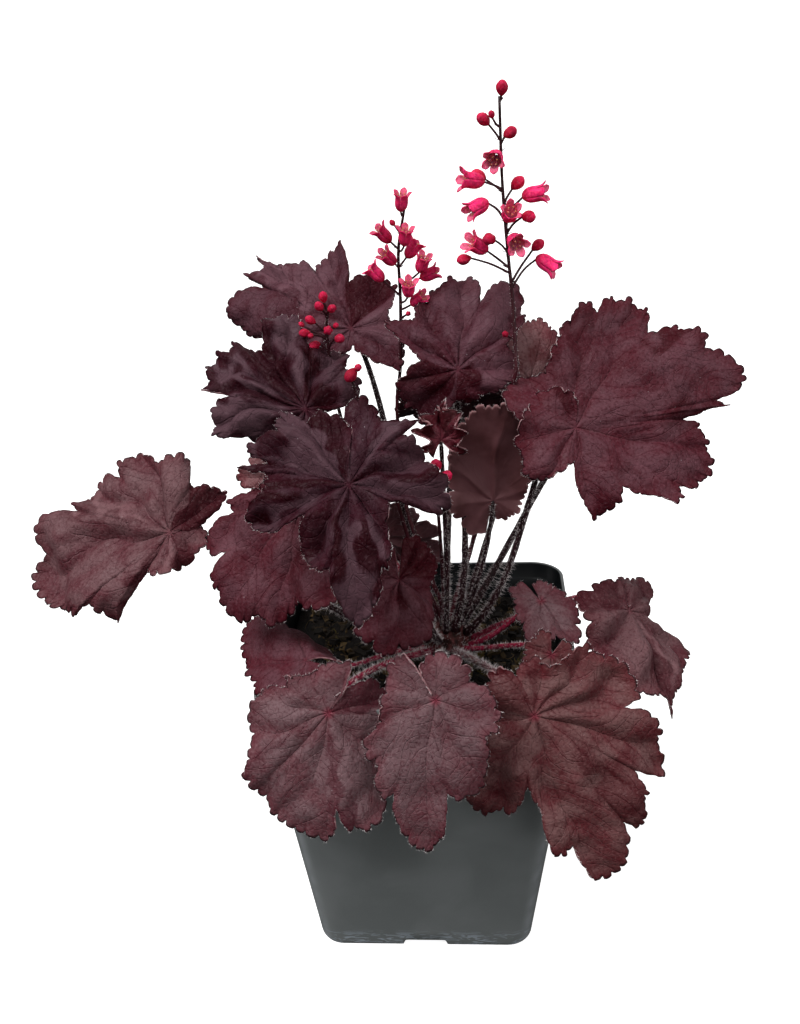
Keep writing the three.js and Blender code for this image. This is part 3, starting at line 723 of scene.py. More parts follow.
class Skin(Enum):
    """Kinds of leaf blade on this plant."""

    AUBERGINE = BladeFinish("aubergine", (0.031, 0.0050, 0.010), (0.044, 0.0180, 0.025),
                            (0.060, 0.018, 0.027), (0.10, 0.020, 0.030), 0.44, 0.05, 0.06)
    GRAPE = BladeFinish("grape", (0.052, 0.0095, 0.016), (0.075, 0.029, 0.039),
                        (0.11, 0.04, 0.05), (0.13, 0.035, 0.045), 0.48, 0.08, 0.07)
    WINE = BladeFinish("wine", (0.055, 0.003, 0.008), (0.080, 0.012, 0.020),
                       (0.15, 0.05, 0.06), (0.15, 0.02, 0.03), 0.50, 0.1, 0.16)
    PLUM = BladeFinish("plum", (0.070, 0.0100, 0.017), (0.092, 0.032, 0.042),
                       (0.15, 0.06, 0.07), (0.15, 0.045, 0.055), 0.52, 0.15, 0.09)
    MAUVE = BladeFinish("mauve", (0.106, 0.036, 0.044), (0.130, 0.070, 0.078),
                        (0.20, 0.10, 0.11), (0.20, 0.07, 0.08), 0.56, 0.65, 0.18)
    RUSSET = BladeFinish("russet", (0.088, 0.014, 0.018), (0.116, 0.050, 0.050),
                         (0.18, 0.08, 0.08), (0.18, 0.06, 0.06), 0.54, 0.6, 0.20)
    DUSK = BladeFinish("dusk", (0.082, 0.018, 0.025), (0.122, 0.056, 0.062),
                       (0.20, 0.10, 0.11), (0.20, 0.08, 0.09), 0.54, 0.15, 0.16)
    COPPER = BladeFinish("copper", (0.070, 0.018, 0.020), (0.084, 0.034, 0.036),
                         (0.14, 0.05, 0.05), (0.120, 0.042, 0.048), 0.55, gloss=0.3, ribs=0.12)
    ROSE = BladeFinish("rose", (0.190, 0.056, 0.062), (0.250, 0.120, 0.125),
                       (0.26, 0.13, 0.13), (0.260, 0.085, 0.085), 0.58, gloss=0.3, ribs=0.35)


class Stalk(Enum):
    """Kinds of petiole and flower stem."""

    DARK = StalkFinish("stalk_dark", (0.030, 0.008, 0.011), (0.012, 0.003, 0.005))
    CRIMSON = StalkFinish("stalk_crimson", (0.28, 0.018, 0.050), (0.36, 0.012, 0.050))
    GREY = StalkFinish("stalk_grey", (0.24, 0.13, 0.14), (0.18, 0.06, 0.07))
    SCAPE = StalkFinish("scape_stem", (0.085, 0.012, 0.020), (0.016, 0.003, 0.005))


# ---------------------------------------------------------------- leaves


@dataclass(frozen=True)
class BladeForm:
    """Shape of a blade over its plane: pleats, droop, ruffle, tip droop and sinus lift."""

    fold: float = 0.12
    cup: float = 0.08
    ruffle: float = 0.03
    wave: float = 5.0
    curl: float = 0.05
    lift: float = 0.12


@dataclass(frozen=True)
class Fold:
    """Bend of a blade: past a crease line it turns towards its face, or away where turn is negative.

    The crease lies offset mm from the hub, across the way that makes angle degrees with the midrib.
    """

    angle: float
    offset: float
    turn: float
    radius: float = 6.0

    def bend(self, local: Array) -> Array:
        """Rolls what lies past the crease round a cylinder, then runs on straight.

        Args:
            local: (..., 3) places in the blade: along the midrib, to the right, above its plane.

        Returns:
            The bent places.
        """
        a, full = math.radians(self.angle), math.radians(self.turn)
        way = np.array([math.cos(a), math.sin(a)])
        past = local[..., :2] @ way - self.offset
        turned = np.clip(past / self.radius, 0, abs(full))
        rest = np.maximum(past - self.radius * abs(full), 0)
        sign = math.copysign(1.0, full)
        lift = local[..., 2]
        ahead = np.where(past > 0, self.radius * np.sin(turned) + rest * math.cos(full)
                         - sign * lift * np.sin(turned), past)
        roll = self.radius * (1 - np.cos(turned)) + rest * math.sin(abs(full))
        rise = sign * roll + lift * np.cos(turned)
        flat = local[..., :2] + (ahead - past)[..., None] * way
        return np.concatenate([flat, rise[..., None]], axis=-1)


@dataclass(frozen=True)
class PaintedLight:
    """Sector of a blade with painted shade in darker wine, or a painted highlight, paler bloom-grey, where
    amount is negative.

    It reaches spread degrees to both sides of angle and from start to end mm from the hub.
    """

    angle: float
    spread: float
    start: float
    end: float
    amount: float

    def weight(self, angle: Array, r: Array) -> Array:
        """Amount inside the sector, falling smoothly to 0 over its borders.

        Args:
            angle: angles from the midrib, in degrees.
            r: distances from the hub.

        Returns:
            The weight at each place: a step over about 2 degrees times two over 4 mm.
        """
        turn = np.abs(angle - self.angle)
        side = 1 - smooth(turn, self.spread - 0.7, self.spread + 1.5)
        return self.amount * side * smooth(r, self.start - 2, self.start + 2) * (
            1 - smooth(r, self.end - 2, self.end + 2))


@dataclass(frozen=True)
class Crown:
    """Rootstock in the soil that every stalk grows from; lean is a ring's tilt from upright."""

    place: Triple = (10.0, 8.0, 121.0)
    radius: float = 13.0
    seat_gap: float = 0.35
    lean: tuple[tuple[str, float], ...] = (("A", 68.0), ("B", 46.0), ("C", 27.0), ("D", 11.0))

    def seat(self, ring: str, azimuth: float) -> tuple[Array, Array]:
        """Start and leaving direction of the stalk on a ring's azimuth."""
        out = aim(azimuth, 90 - dict(self.lean)[ring])
        return np.array(self.place) + out * (self.radius + self.seat_gap), out


CROWN = Crown()


@dataclass(frozen=True)
class LeafPlan:
    """One leaf: place and turn of its blade, its lobes and border, and where its petiole runs.

    face is the azimuth and elevation of the way that the upper side looks, roll the midrib's turn
    from downhill, mid the middle lobe's reach, and right and left the (angle, reach) of the others.
    A lobe has a main vein where it stands at least apart degrees from the last one. The border
    follows the (angle, reach) points of outline, or else the lobes, with cuts for notches that
    differ: (angle inside the notch, depth, width). The petiole leaves its seat on the crown, is
    bent by bow and arrives from under the blade, approach degrees from straight below towards the
    sinus; thin is a thinner one. relief scales the blade's waves, and coarse widens its grid.
    """

    name: str
    hub: Triple
    face: Pair
    roll: float
    mid: float
    right: tuple[Pair, ...]
    left: tuple[Pair, ...]
    seat: tuple[str, float]
    skin: Skin
    stalk: Stalk = Stalk.DARK
    form: BladeForm = BladeForm()
    slot: str = "leaf_upper"
    approach: float = 35.0
    bow: Triple = (0.0, 0.0, 0.0)
    thin: bool = False
    relief: float = 0.8
    apart: float = 30.0
    coarse: float = 1.0
    folds: tuple[Fold, ...] = ()
    cuts: tuple[Triple, ...] = ()
    outline: tuple[Pair, ...] = ()
    # Sectors of painted shade, amount above 0, and painted highlight, amount below 0.
    painted_light: tuple[PaintedLight, ...] = ()


# A leaf's table of sectors gives its painted shade and painted highlight.
LEAVES = (
    LeafPlan(
        "top_left", hub=(-29, 50, 258), face=(-22, 42), roll=145, mid=50,
        right=((60, 28), (108, 27), (157, 27)),
        left=((32, 70), (66, 45), (108, 34), (150, 27)),
        seat=("C", 225), skin=Skin.GRAPE, form=BladeForm(fold=0.22, cup=0.04),
        folds=(Fold(-125, 6, -14, 8),),
        outline=(
            (-186, 10), (-150, 11), (-120, 20), (-100, 28), (-80, 36), (-66, 44), (-59, 58), (-51, 69),
            (-47, 68), (-43, 67), (-38, 62), (-36, 54), (-34, 73), (-30, 68), (-28, 62), (-26, 74),
            (-24, 54), (-18, 51), (-12, 50), (-10, 41), (-8, 44), (-3, 45), (4, 45), (7, 42), (13, 45),
            (15, 40), (19, 21), (27, 24), (42, 27), (49, 26), (54, 28), (68, 28), (81, 23), (102, 18),
            (120, 20), (142, 29), (157, 33), (162, 26), (172, 17), (186, 12)),
        painted_light=(
            PaintedLight(43, 27, 2, 60, 1.1), PaintedLight(-28, 5, 24, 80, -0.9), PaintedLight(-27, 7, 7, 22, 0.7),
            PaintedLight(-8, 13, 18, 50, -0.5), PaintedLight(108, 34, 4, 40, -0.5))),
    LeafPlan(
        "left_upper", hub=(-44, 0, 238), face=(-20, 38), roll=109, mid=54,
        right=((27, 39), (41, 45), (78, 30), (132, 23), (165, 14)),
        left=((12, 50), (35, 43), (74, 27), (116, 24), (155, 20)),
        seat=("B", 275), skin=Skin.AUBERGINE, form=BladeForm(fold=0.5, cup=0.05, ruffle=0.02), relief=1.3,
        apart=11, folds=(Fold(125, 1, -38, 5),),
        outline=(
            (-186, 16), (-155, 20), (-116, 24), (-80, 20), (-62, 24), (-54, 29), (-49, 36), (-44, 41),
            (-36, 43), (-32, 42), (-26, 43), (-20, 41), (-17, 35), (-15, 53), (-12, 49), (-8, 50), (-4, 54),
            (0, 53), (5, 55), (8, 49), (13, 53), (16, 43), (22, 37), (27, 42), (33, 47), (42, 47), (50, 45),
            (53, 37), (58, 30), (62, 35), (69, 39), (79, 37), (86, 35), (92, 27), (97, 23), (104, 25),
            (114, 26), (126, 23), (137, 18), (142, 13), (152, 8), (165, 8), (186, 8)),
        painted_light=(
            PaintedLight(43, 5, 12, 46, -1.0), PaintedLight(15, 7, 5, 50, 0.8), PaintedLight(1, 3, 8, 54, -1.0),
            PaintedLight(-9, 5, 5, 48, 0.7), PaintedLight(-37, 17, 12, 45, -1.1), PaintedLight(77, 10, 16, 38, -0.6),
            PaintedLight(58, 5, 3, 32, 1.0), PaintedLight(108, 42, 2, 12, 1.0), PaintedLight(118, 20, 14, 26, -0.4),
            PaintedLight(28, 5, 4, 40, 0.9))),
    LeafPlan(
        "front_dark", hub=(-22, -55, 227), face=(-5, 48), roll=-7, mid=50,
        right=((30, 37), (75, 42), (110, 47), (143, 50)),
        left=((30, 36), (75, 38), (110, 31), (142, 39)),
        seat=("B", 322), skin=Skin.AUBERGINE, form=BladeForm(fold=0.5, cup=0.1, curl=0.1), relief=1.3,
        outline=(
            (-186, 26), (-177, 34), (-168, 36), (-161, 34), (-154, 29), (-150, 33), (-144, 37), (-135, 38),
            (-130, 27), (-123, 30), (-105, 31), (-94, 32), (-86, 37), (-77, 38), (-67, 35), (-62, 25),
            (-58, 18), (-46, 21), (-34, 25), (-27, 32), (-21, 36), (-18, 34), (-12, 43), (-6, 48), (0, 50),
            (5, 47), (10, 41), (14, 33), (18, 36), (25, 35), (35, 31), (48, 26), (57, 19), (65, 33),
            (73, 39), (80, 41), (84, 38), (89, 32), (104, 32), (107, 34), (110, 48), (115, 35), (118, 46),
            (121, 47), (128, 43), (132, 35), (139, 44), (144, 47), (148, 43), (151, 32), (155, 35),
            (162, 35), (168, 29), (173, 29), (178, 26), (186, 22)),
        painted_light=(
            PaintedLight(134, 16, 5, 52, -0.8), PaintedLight(125, 3, 29, 48, 1.2), PaintedLight(160, 9, 5, 34, 0.9),
            PaintedLight(174, 5, 3, 30, 0.6), PaintedLight(-142, 6, 8, 40, -1.0), PaintedLight(-112, 15, 0, 13, 0.8),
            PaintedLight(-112, 13, 16, 32, -0.5), PaintedLight(-90, 5, 12, 38, 0.8), PaintedLight(-77, 7, 6, 39, -0.8),
            PaintedLight(-44, 16, 3, 25, 0.4), PaintedLight(-21, 3, 14, 36, -0.9), PaintedLight(-13, 4, 18, 42, 0.9),
            PaintedLight(-1, 7, 13, 52, -0.8), PaintedLight(12, 4, 3, 42, 1.0), PaintedLight(37, 15, 6, 36, 0.7),
            PaintedLight(25, 3, 16, 34, -0.8), PaintedLight(73, 6, 12, 42, -0.6), PaintedLight(82, 4, 18, 42, 1.0),
            PaintedLight(97, 7, 5, 34, 0.9), PaintedLight(110, 4, 33, 50, 0.9))),
    LeafPlan(
        "left_mid", hub=(-44, -34, 209), face=(-20, 30), roll=34, mid=55,
        right=((31, 48), (62, 35), (100, 28), (148, 22)),
        left=((30, 48), (60, 38), (100, 27), (146, 20)),
        seat=("B", 300), skin=Skin.PLUM, form=BladeForm(cup=0.1), relief=0.6,
        outline=(
            (-186, 16), (-146, 20), (-120, 22), (-100, 27), (-82, 30), (-72, 37), (-65, 40), (-54, 41),
            (-46, 40), (-41, 36), (-38, 41), (-32, 45), (-25, 49), (-18, 46), (-11, 53), (-3, 54), (3, 53),
            (6, 49), (9, 51), (15, 49), (18, 45), (20, 37), (23, 45), (30, 48), (34, 46), (41, 40),
            (46, 31), (54, 36), (60, 30), (67, 24), (80, 20), (100, 25), (125, 22), (148, 22), (186, 16)),
        painted_light=(PaintedLight(70, 8, 6, 50, 0.5), PaintedLight(-40, 6, 14, 50, 0.6), PaintedLight(25, 6, 30, 50, -0.3))),
    LeafPlan(
        "far_left", hub=(-103, -12, 189), face=(-25, 36), roll=64, mid=69,
        right=((41, 56), (77, 40), (156, 30)),
        left=((38, 47), (72, 25), (104, 22), (140, 20)),
        seat=("A", 284), skin=Skin.DUSK, form=BladeForm(fold=0.24, cup=0.05, ruffle=0.05),
        folds=(Fold(-168, 1, -50, 4),),
        outline=(
            (-186, 14), (-173, 16), (-152, 17), (-140, 14), (-119, 16), (-97, 17), (-66, 20), (-54, 19),
            (-46, 17), (-42, 30), (-40, 46), (-36, 46), (-30, 48), (-26, 47), (-24, 58), (-19, 60),
            (-17, 62), (-11, 69), (-3, 75), (1, 75), (5, 72), (8, 66), (13, 71), (17, 71), (22, 67),
            (25, 61), (27, 53), (30, 60), (33, 53), (37, 50), (43, 52), (49, 48), (55, 39), (61, 44),
            (68, 42), (74, 42), (79, 38), (89, 31), (96, 34), (106, 35), (114, 33), (118, 22), (124, 20),
            (131, 24), (142, 27), (151, 30), (161, 23), (168, 16), (186, 12)),
        painted_light=(
            PaintedLight(152, 30, 0, 45, 1.0), PaintedLight(-115, 22, 0, 45, 0.7), PaintedLight(-80, 7, 2, 40, -0.4),
            PaintedLight(36, 4, 12, 60, -0.5), PaintedLight(28, 4, 10, 60, 0.4), PaintedLight(-45, 5, 12, 50, 0.7))),
    LeafPlan(
        "centre_top", hub=(18, 5, 252), face=(0, 40), roll=-175, mid=44,
        right=((38, 41), (80, 27), (128, 20)),
        left=((26, 38), (54, 39), (106, 28), (146, 28)),
        seat=("C", 44), skin=Skin.GRAPE, form=BladeForm(fold=0.26), bow=(-2, 12, 0), relief=0.7, apart=26,
        folds=(Fold(180, 2, -50, 5),),
        outline=(
            (-190, 12), (-176, 14), (-168, 19), (-162, 26), (-149, 29), (-140, 25), (-134, 29), (-124, 28),
            (-110, 27), (-104, 24), (-92, 19), (-86, 15), (-73, 20), (-64, 29), (-57, 39), (-53, 36),
            (-47, 30), (-42, 29), (-38, 33), (-31, 35), (-27, 34), (-22, 39), (-16, 38), (-9, 42), (-5, 40),
            (2, 45), (7, 42), (12, 32), (15, 40), (20, 44), (27, 47), (35, 43), (39, 37), (44, 37),
            (53, 28), (58, 22), (67, 24), (76, 25), (87, 25), (106, 20), (128, 15), (159, 15), (180, 12)),
        painted_light=(
            PaintedLight(-128, 37, 0, 17, 1.0), PaintedLight(-128, 37, 17, 32, 0.5), PaintedLight(-52, 5, 4, 22, 0.8),
            PaintedLight(-34, 5, 18, 34, 0.4), PaintedLight(0, 10, 6, 45, -0.4), PaintedLight(28, 11, 10, 48, -0.4),
            PaintedLight(8, 4, 13, 18, 0.8), PaintedLight(90, 24, 10, 28, -0.4), PaintedLight(110, 48, 0, 9, 1.0),
            PaintedLight(172, 16, 0, 18, 1.0))),
    LeafPlan(
        "right_big", hub=(65, -5, 230), face=(10, 28), roll=-74, mid=61,
        right=((65, 38), (112, 27), (156, 26), (200, 24)),
        left=((69, 64), (100, 50), (150, 30)),
        seat=("B", 75), skin=Skin.PLUM, form=BladeForm(fold=0.14, cup=0.06), relief=0.6,
        outline=(
            (-186, 24), (-178, 29), (-167, 33), (-148, 31), (-136, 26), (-125, 28), (-113, 36), (-107, 43),
            (-101, 47), (-98, 52), (-93, 53), (-89, 49), (-87, 56), (-84, 58), (-82, 56), (-77, 61),
            (-72, 58), (-69, 61), (-66, 58), (-63, 51), (-60, 57), (-56, 62), (-53, 62), (-51, 67),
            (-46, 68), (-43, 64), (-40, 70), (-36, 73), (-31, 76), (-28, 76), (-25, 72), (-23, 61),
            (-21, 67), (-20, 56), (-17, 45), (-15, 53), (-11, 54), (-7, 58), (-3, 57), (0, 61), (6, 61),
            (9, 58), (14, 56), (18, 48), (21, 52), (26, 51), (28, 44), (34, 38), (41, 30), (46, 35),
            (55, 36), (60, 36), (67, 38), (71, 32), (77, 26), (84, 14), (95, 18), (106, 23), (112, 26),
            (128, 29), (138, 25), (155, 26), (170, 24), (194, 21), (212, 21), (232, 18), (251, 14),
            (262, 9)),
        painted_light=(
            PaintedLight(-54, 5, 44, 75, 0.9), PaintedLight(-15, 6, 34, 50, 0.5), PaintedLight(58, 5, 26, 40, 0.5),
            PaintedLight(238, 12, 5, 24, 0.8), PaintedLight(-22, 3, 12, 60, 0.5), PaintedLight(-98, 4, 20, 50, 0.5),
            PaintedLight(-118, 6, 14, 40, 0.4), PaintedLight(30, 4, 12, 40, 0.4))),
    LeafPlan(
        "behind_right", hub=(48, 20, 242), face=(10, 25), roll=-165, mid=28,
        right=((18, 24), (40, 13), (85, 13), (135, 11)),
        left=((18, 26), (52, 20), (97, 16), (142, 12)),
        seat=("C", 116), skin=Skin.ROSE, thin=True, relief=0.4,
        painted_light=(PaintedLight(20, 14, 8, 40, 0.35),)),
    LeafPlan(
        "centre_young", hub=(32, 4, 195), face=(180, 0), roll=174, mid=46,
        right=((13, 45), (28, 38), (55, 24), (105, 19), (152, 19)),
        left=((20, 33), (64, 15), (108, 12), (144, 11)),
        seat=("C", 80), skin=Skin.COPPER, form=BladeForm(fold=0.06, cup=0.16), approach=75, thin=True,
        relief=0.15),
    LeafPlan(
        "centre_bud", hub=(11, -12, 228), face=(0, 45), roll=178, mid=17,
        right=((23, 16), (60, 14), (120, 10)),
        left=((36, 12), (74, 12), (130, 9)),
        seat=("C", 8), skin=Skin.WINE, form=BladeForm(fold=0.5, ruffle=0.2, wave=9), thin=True, relief=1.6,
        folds=(Fold(60, 3, 60, 3), Fold(-70, 3, 55, 3)),
        painted_light=(PaintedLight(30, 12, 2, 20, 0.8), PaintedLight(-60, 20, 2, 20, 0.8))),
    LeafPlan(
        "front_folded", hub=(-6, -40, 180), face=(20, 35), roll=20, mid=31,
        right=((30, 28), (53, 20), (95, 18), (140, 16)),
        left=((25, 27), (71, 20), (100, 13), (134, 20), (166, 20)),
        seat=("B", 346), skin=Skin.PLUM, form=BladeForm(fold=0.34, cup=0.04), folds=(Fold(-80, 3, -30, 5),),
        cuts=((15, 0.08, 0.5), (-12, 0.1, 0.5)),
        painted_light=(
            PaintedLight(-155, 42, 0, 30, 1.0), PaintedLight(-8, 12, 2, 12, 0.9), PaintedLight(15, 4, 6, 30, 0.4),
            PaintedLight(-45, 6, 6, 26, 0.6), PaintedLight(120, 30, 2, 30, 0.6))),
    LeafPlan(
        "low_left", hub=(-43, -53, 151), face=(-50, 58), roll=62, mid=33,
        right=((27, 48), (52, 47), (94, 22), (146, 15)),
        left=((43, 24), (96, 16), (146, 14)),
        seat=("A", 312), skin=Skin.PLUM, stalk=Stalk.CRIMSON, form=BladeForm(cup=0.05), slot="leaf_lower",
        thin=True, relief=0.5, folds=(Fold(120, 2, -70, 4),), cuts=((40, 0.05, 0.5), (15, 0.06, 0.5)),
        painted_light=(PaintedLight(78, 22, 10, 50, 0.6),)),
    LeafPlan(
        "bottom_left", hub=(-33, -72, 139), face=(-6, 20), roll=5, mid=54,
        right=((35, 46), (70, 38), (105, 28), (161, 22)),
        left=((54, 34), (110, 24), (154, 20)),
        seat=("A", 332), skin=Skin.MAUVE, stalk=Stalk.CRIMSON, slot="leaf_lower", relief=0.5,
        folds=(Fold(-101, 1, -34, 5),),
        outline=(
            (-172, 7), (-165, 8), (-150, 12), (-140, 17), (-123, 24), (-110, 27), (-80, 30), (-56, 35),
            (-46, 42), (-39, 46), (-31, 49), (-24, 50), (-22, 48), (-17, 48), (-14, 45), (-11, 37),
            (-8, 49), (-3, 53), (4, 52), (14, 51), (24, 50), (28, 46), (39, 46), (47, 44), (51, 39),
            (56, 37), (62, 34), (76, 34), (89, 32), (94, 29), (99, 28), (114, 19), (124, 22), (134, 19),
            (145, 17), (152, 17), (176, 20), (195, 22), (203, 13), (208, 8)),
        painted_light=(
            PaintedLight(-13, 6, 8, 60, 0.6), PaintedLight(-134, 36, 2, 30, 0.8), PaintedLight(48, 6, 18, 50, 0.4),
            PaintedLight(-24, 5, 10, 30, -0.5))),
    LeafPlan(
        "bottom_centre", hub=(9, -88, 155), face=(0, 16), roll=3, mid=62,
        right=((62, 33), (112, 21)),
        left=((30, 42), (81, 27), (135, 20), (180, 20)),
        seat=("A", 358), skin=Skin.MAUVE, form=BladeForm(fold=0.08, cup=0.12), slot="leaf_lower",
        relief=0.3,
        outline=(
            (-212, 9), (-208, 14), (-193, 17), (-177, 18), (-156, 19), (-135, 18), (-121, 14), (-105, 20),
            (-93, 22), (-80, 25), (-65, 26), (-56, 23), (-48, 28), (-37, 33), (-31, 39), (-24, 41),
            (-14, 41), (-9, 37), (-5, 55), (-3, 57), (-1, 61), (1, 62), (4, 61), (11, 55), (16, 49),
            (21, 40), (24, 44), (31, 41), (37, 34), (45, 35), (56, 32), (60, 25), (74, 21), (104, 19),
            (124, 22), (137, 22), (145, 21), (148, 15), (150, 8), (151, 3)),
        painted_light=(PaintedLight(-7, 3, 26, 46, 0.3), PaintedLight(-195, 14, 6, 15, 0.4))),
    LeafPlan(
        "bottom_right", hub=(46, -71, 137), face=(6, 20), roll=-18, mid=73,
        right=((45, 46), (87, 24), (165, 22)),
        left=((55, 55), (93, 42), (126, 34), (158, 22)),
        seat=("A", 22), skin=Skin.RUSSET, stalk=Stalk.GREY, form=BladeForm(fold=0.2), slot="leaf_lower",
        relief=0.6, folds=(Fold(104, 2, -26, 6),),
        outline=(
            (-190, 14), (-174, 21), (-156, 23), (-143, 20), (-134, 25), (-130, 30), (-123, 35), (-113, 34),
            (-106, 38), (-97, 41), (-87, 42), (-78, 42), (-74, 35), (-72, 43), (-67, 48), (-61, 51),
            (-56, 50), (-50, 55), (-43, 58), (-40, 45), (-37, 50), (-35, 55), (-31, 55), (-27, 61),
            (-24, 63), (-21, 62), (-19, 56), (-17, 63), (-14, 67), (-11, 71), (-8, 73), (-4, 74), (0, 72),
            (3, 62), (4, 54), (8, 57), (12, 56), (15, 48), (17, 36), (26, 28), (29, 36), (36, 43), (43, 44),
            (47, 50), (53, 51), (57, 49), (70, 40), (87, 26), (120, 22), (140, 21), (155, 24), (167, 23),
            (173, 20), (182, 14)),
        painted_light=(
            PaintedLight(-37, 5, 8, 50, 0.5), PaintedLight(-29, 5, 20, 62, 0.7), PaintedLight(150, 32, 3, 30, 0.6),
            PaintedLight(42, 14, 10, 48, 0.2), PaintedLight(-160, 8, 3, 22, 0.6), PaintedLight(-128, 5, 22, 36, 0.5))),
    LeafPlan(
        "right_small", hub=(52, -4, 151), face=(15, 56), roll=-29, mid=24,
        right=((48, 21), (104, 13), (156, 15)),
        left=((37, 17), (90, 10), (140, 11)),
        seat=("A", 66), skin=Skin.MAUVE, stalk=Stalk.CRIMSON, form=BladeForm(fold=0.3), slot="leaf_lower",
        thin=True,
        painted_light=(PaintedLight(20, 10, 3, 20, 0.3), PaintedLight(-60, 20, 3, 20, 0.4))),
    LeafPlan(
        "right_low", hub=(91, 5, 141), face=(40, 46), roll=6, mid=49,
        right=((4, 43), (19, 40), (61, 28), (118, 26), (160, 17)),
        left=((4, 43), (14, 39), (37, 37), (55, 40), (72, 15), (115, 26), (166, 17)),
        seat=("A", 88), skin=Skin.DUSK, stalk=Stalk.CRIMSON, form=BladeForm(fold=0.3), slot="leaf_lower",
        approach=62, bow=(0, 0, 5), relief=0.8, folds=(Fold(-95, 6, -26, 6),),
        cuts=((40, 0.12, 0.5), (90, 0.1, 0.5), (-25, 0.1, 0.6), (-63, 0.1, 0.5), (-95, 0.4, 0.8)),
        painted_light=(
            PaintedLight(135, 30, 5, 30, 0.7), PaintedLight(4, 9, 18, 42, 0.7), PaintedLight(-12, 3, 5, 34, -0.6),
            PaintedLight(-120, 25, 4, 25, 0.4))),
    LeafPlan(
        "right_under", hub=(54, -44, 148), face=(20, 34), roll=18, mid=18,
        right=((59, 14), (104, 12), (150, 11)),
        left=((30, 15), (72, 12), (125, 10)),
        seat=("A", 43), skin=Skin.RUSSET, stalk=Stalk.CRIMSON, slot="leaf_lower", thin=True),
    LeafPlan(
        "left_behind", hub=(-59, 22, 200), face=(-10, 10), roll=83, mid=24,
        right=((45, 15), (92, 13), (142, 12)),
        left=((35, 16), (82, 14), (138, 12)),
        seat=("B", 252), skin=Skin.ROSE, thin=True),
    LeafPlan(
        "back_left", hub=(-42, 62, 188), face=(-145, 44), roll=6, mid=46,
        right=((30, 43), (62, 37), (104, 32), (150, 26)),
        left=((28, 44), (58, 38), (98, 31), (146, 25)),
        seat=("A", 228), skin=Skin.AUBERGINE, coarse=1.5),
    LeafPlan(
        "back_right", hub=(76, 52, 212), face=(132, 46), roll=-8, mid=48,
        right=((28, 44), (60, 38), (102, 30), (150, 25)),
        left=((31, 45), (64, 39), (106, 32), (152, 26)),
        seat=("B", 128), skin=Skin.PLUM, coarse=1.5),
    LeafPlan(
        "back_high", hub=(16, 66, 220), face=(178, 50), roll=4, mid=40,
        right=((30, 37), (64, 33), (108, 27), (152, 22)),
        left=((31, 37), (66, 32), (110, 27), (150, 22)),
        seat=("B", 178), skin=Skin.AUBERGINE, coarse=1.5),
    LeafPlan(
        "back_low", hub=(-24, 82, 142), face=(-170, 26), roll=-6, mid=50,
        right=((30, 45), (62, 38), (104, 31), (152, 24)),
        left=((28, 46), (60, 37), (102, 30), (150, 24)),
        seat=("A", 205), skin=Skin.MAUVE, stalk=Stalk.CRIMSON, slot="leaf_lower", coarse=1.5),
)


@dataclass(frozen=True)
class Margin:
    """Columns of a blade from the sinus round to it: angle, reach, pleat weight and teeth.

    At the very border a column is turned by turn degrees and shorter by cut mm.
    """

    angle: Array
    reach: Array
    between: Array
    turn: Array
    cut: Array


class LeafCoat(IntEnum):
    """A leaf's finishes, in their order on the piece."""

    UPPER, LOWER, RIM, STALK, HAIR = range(5)


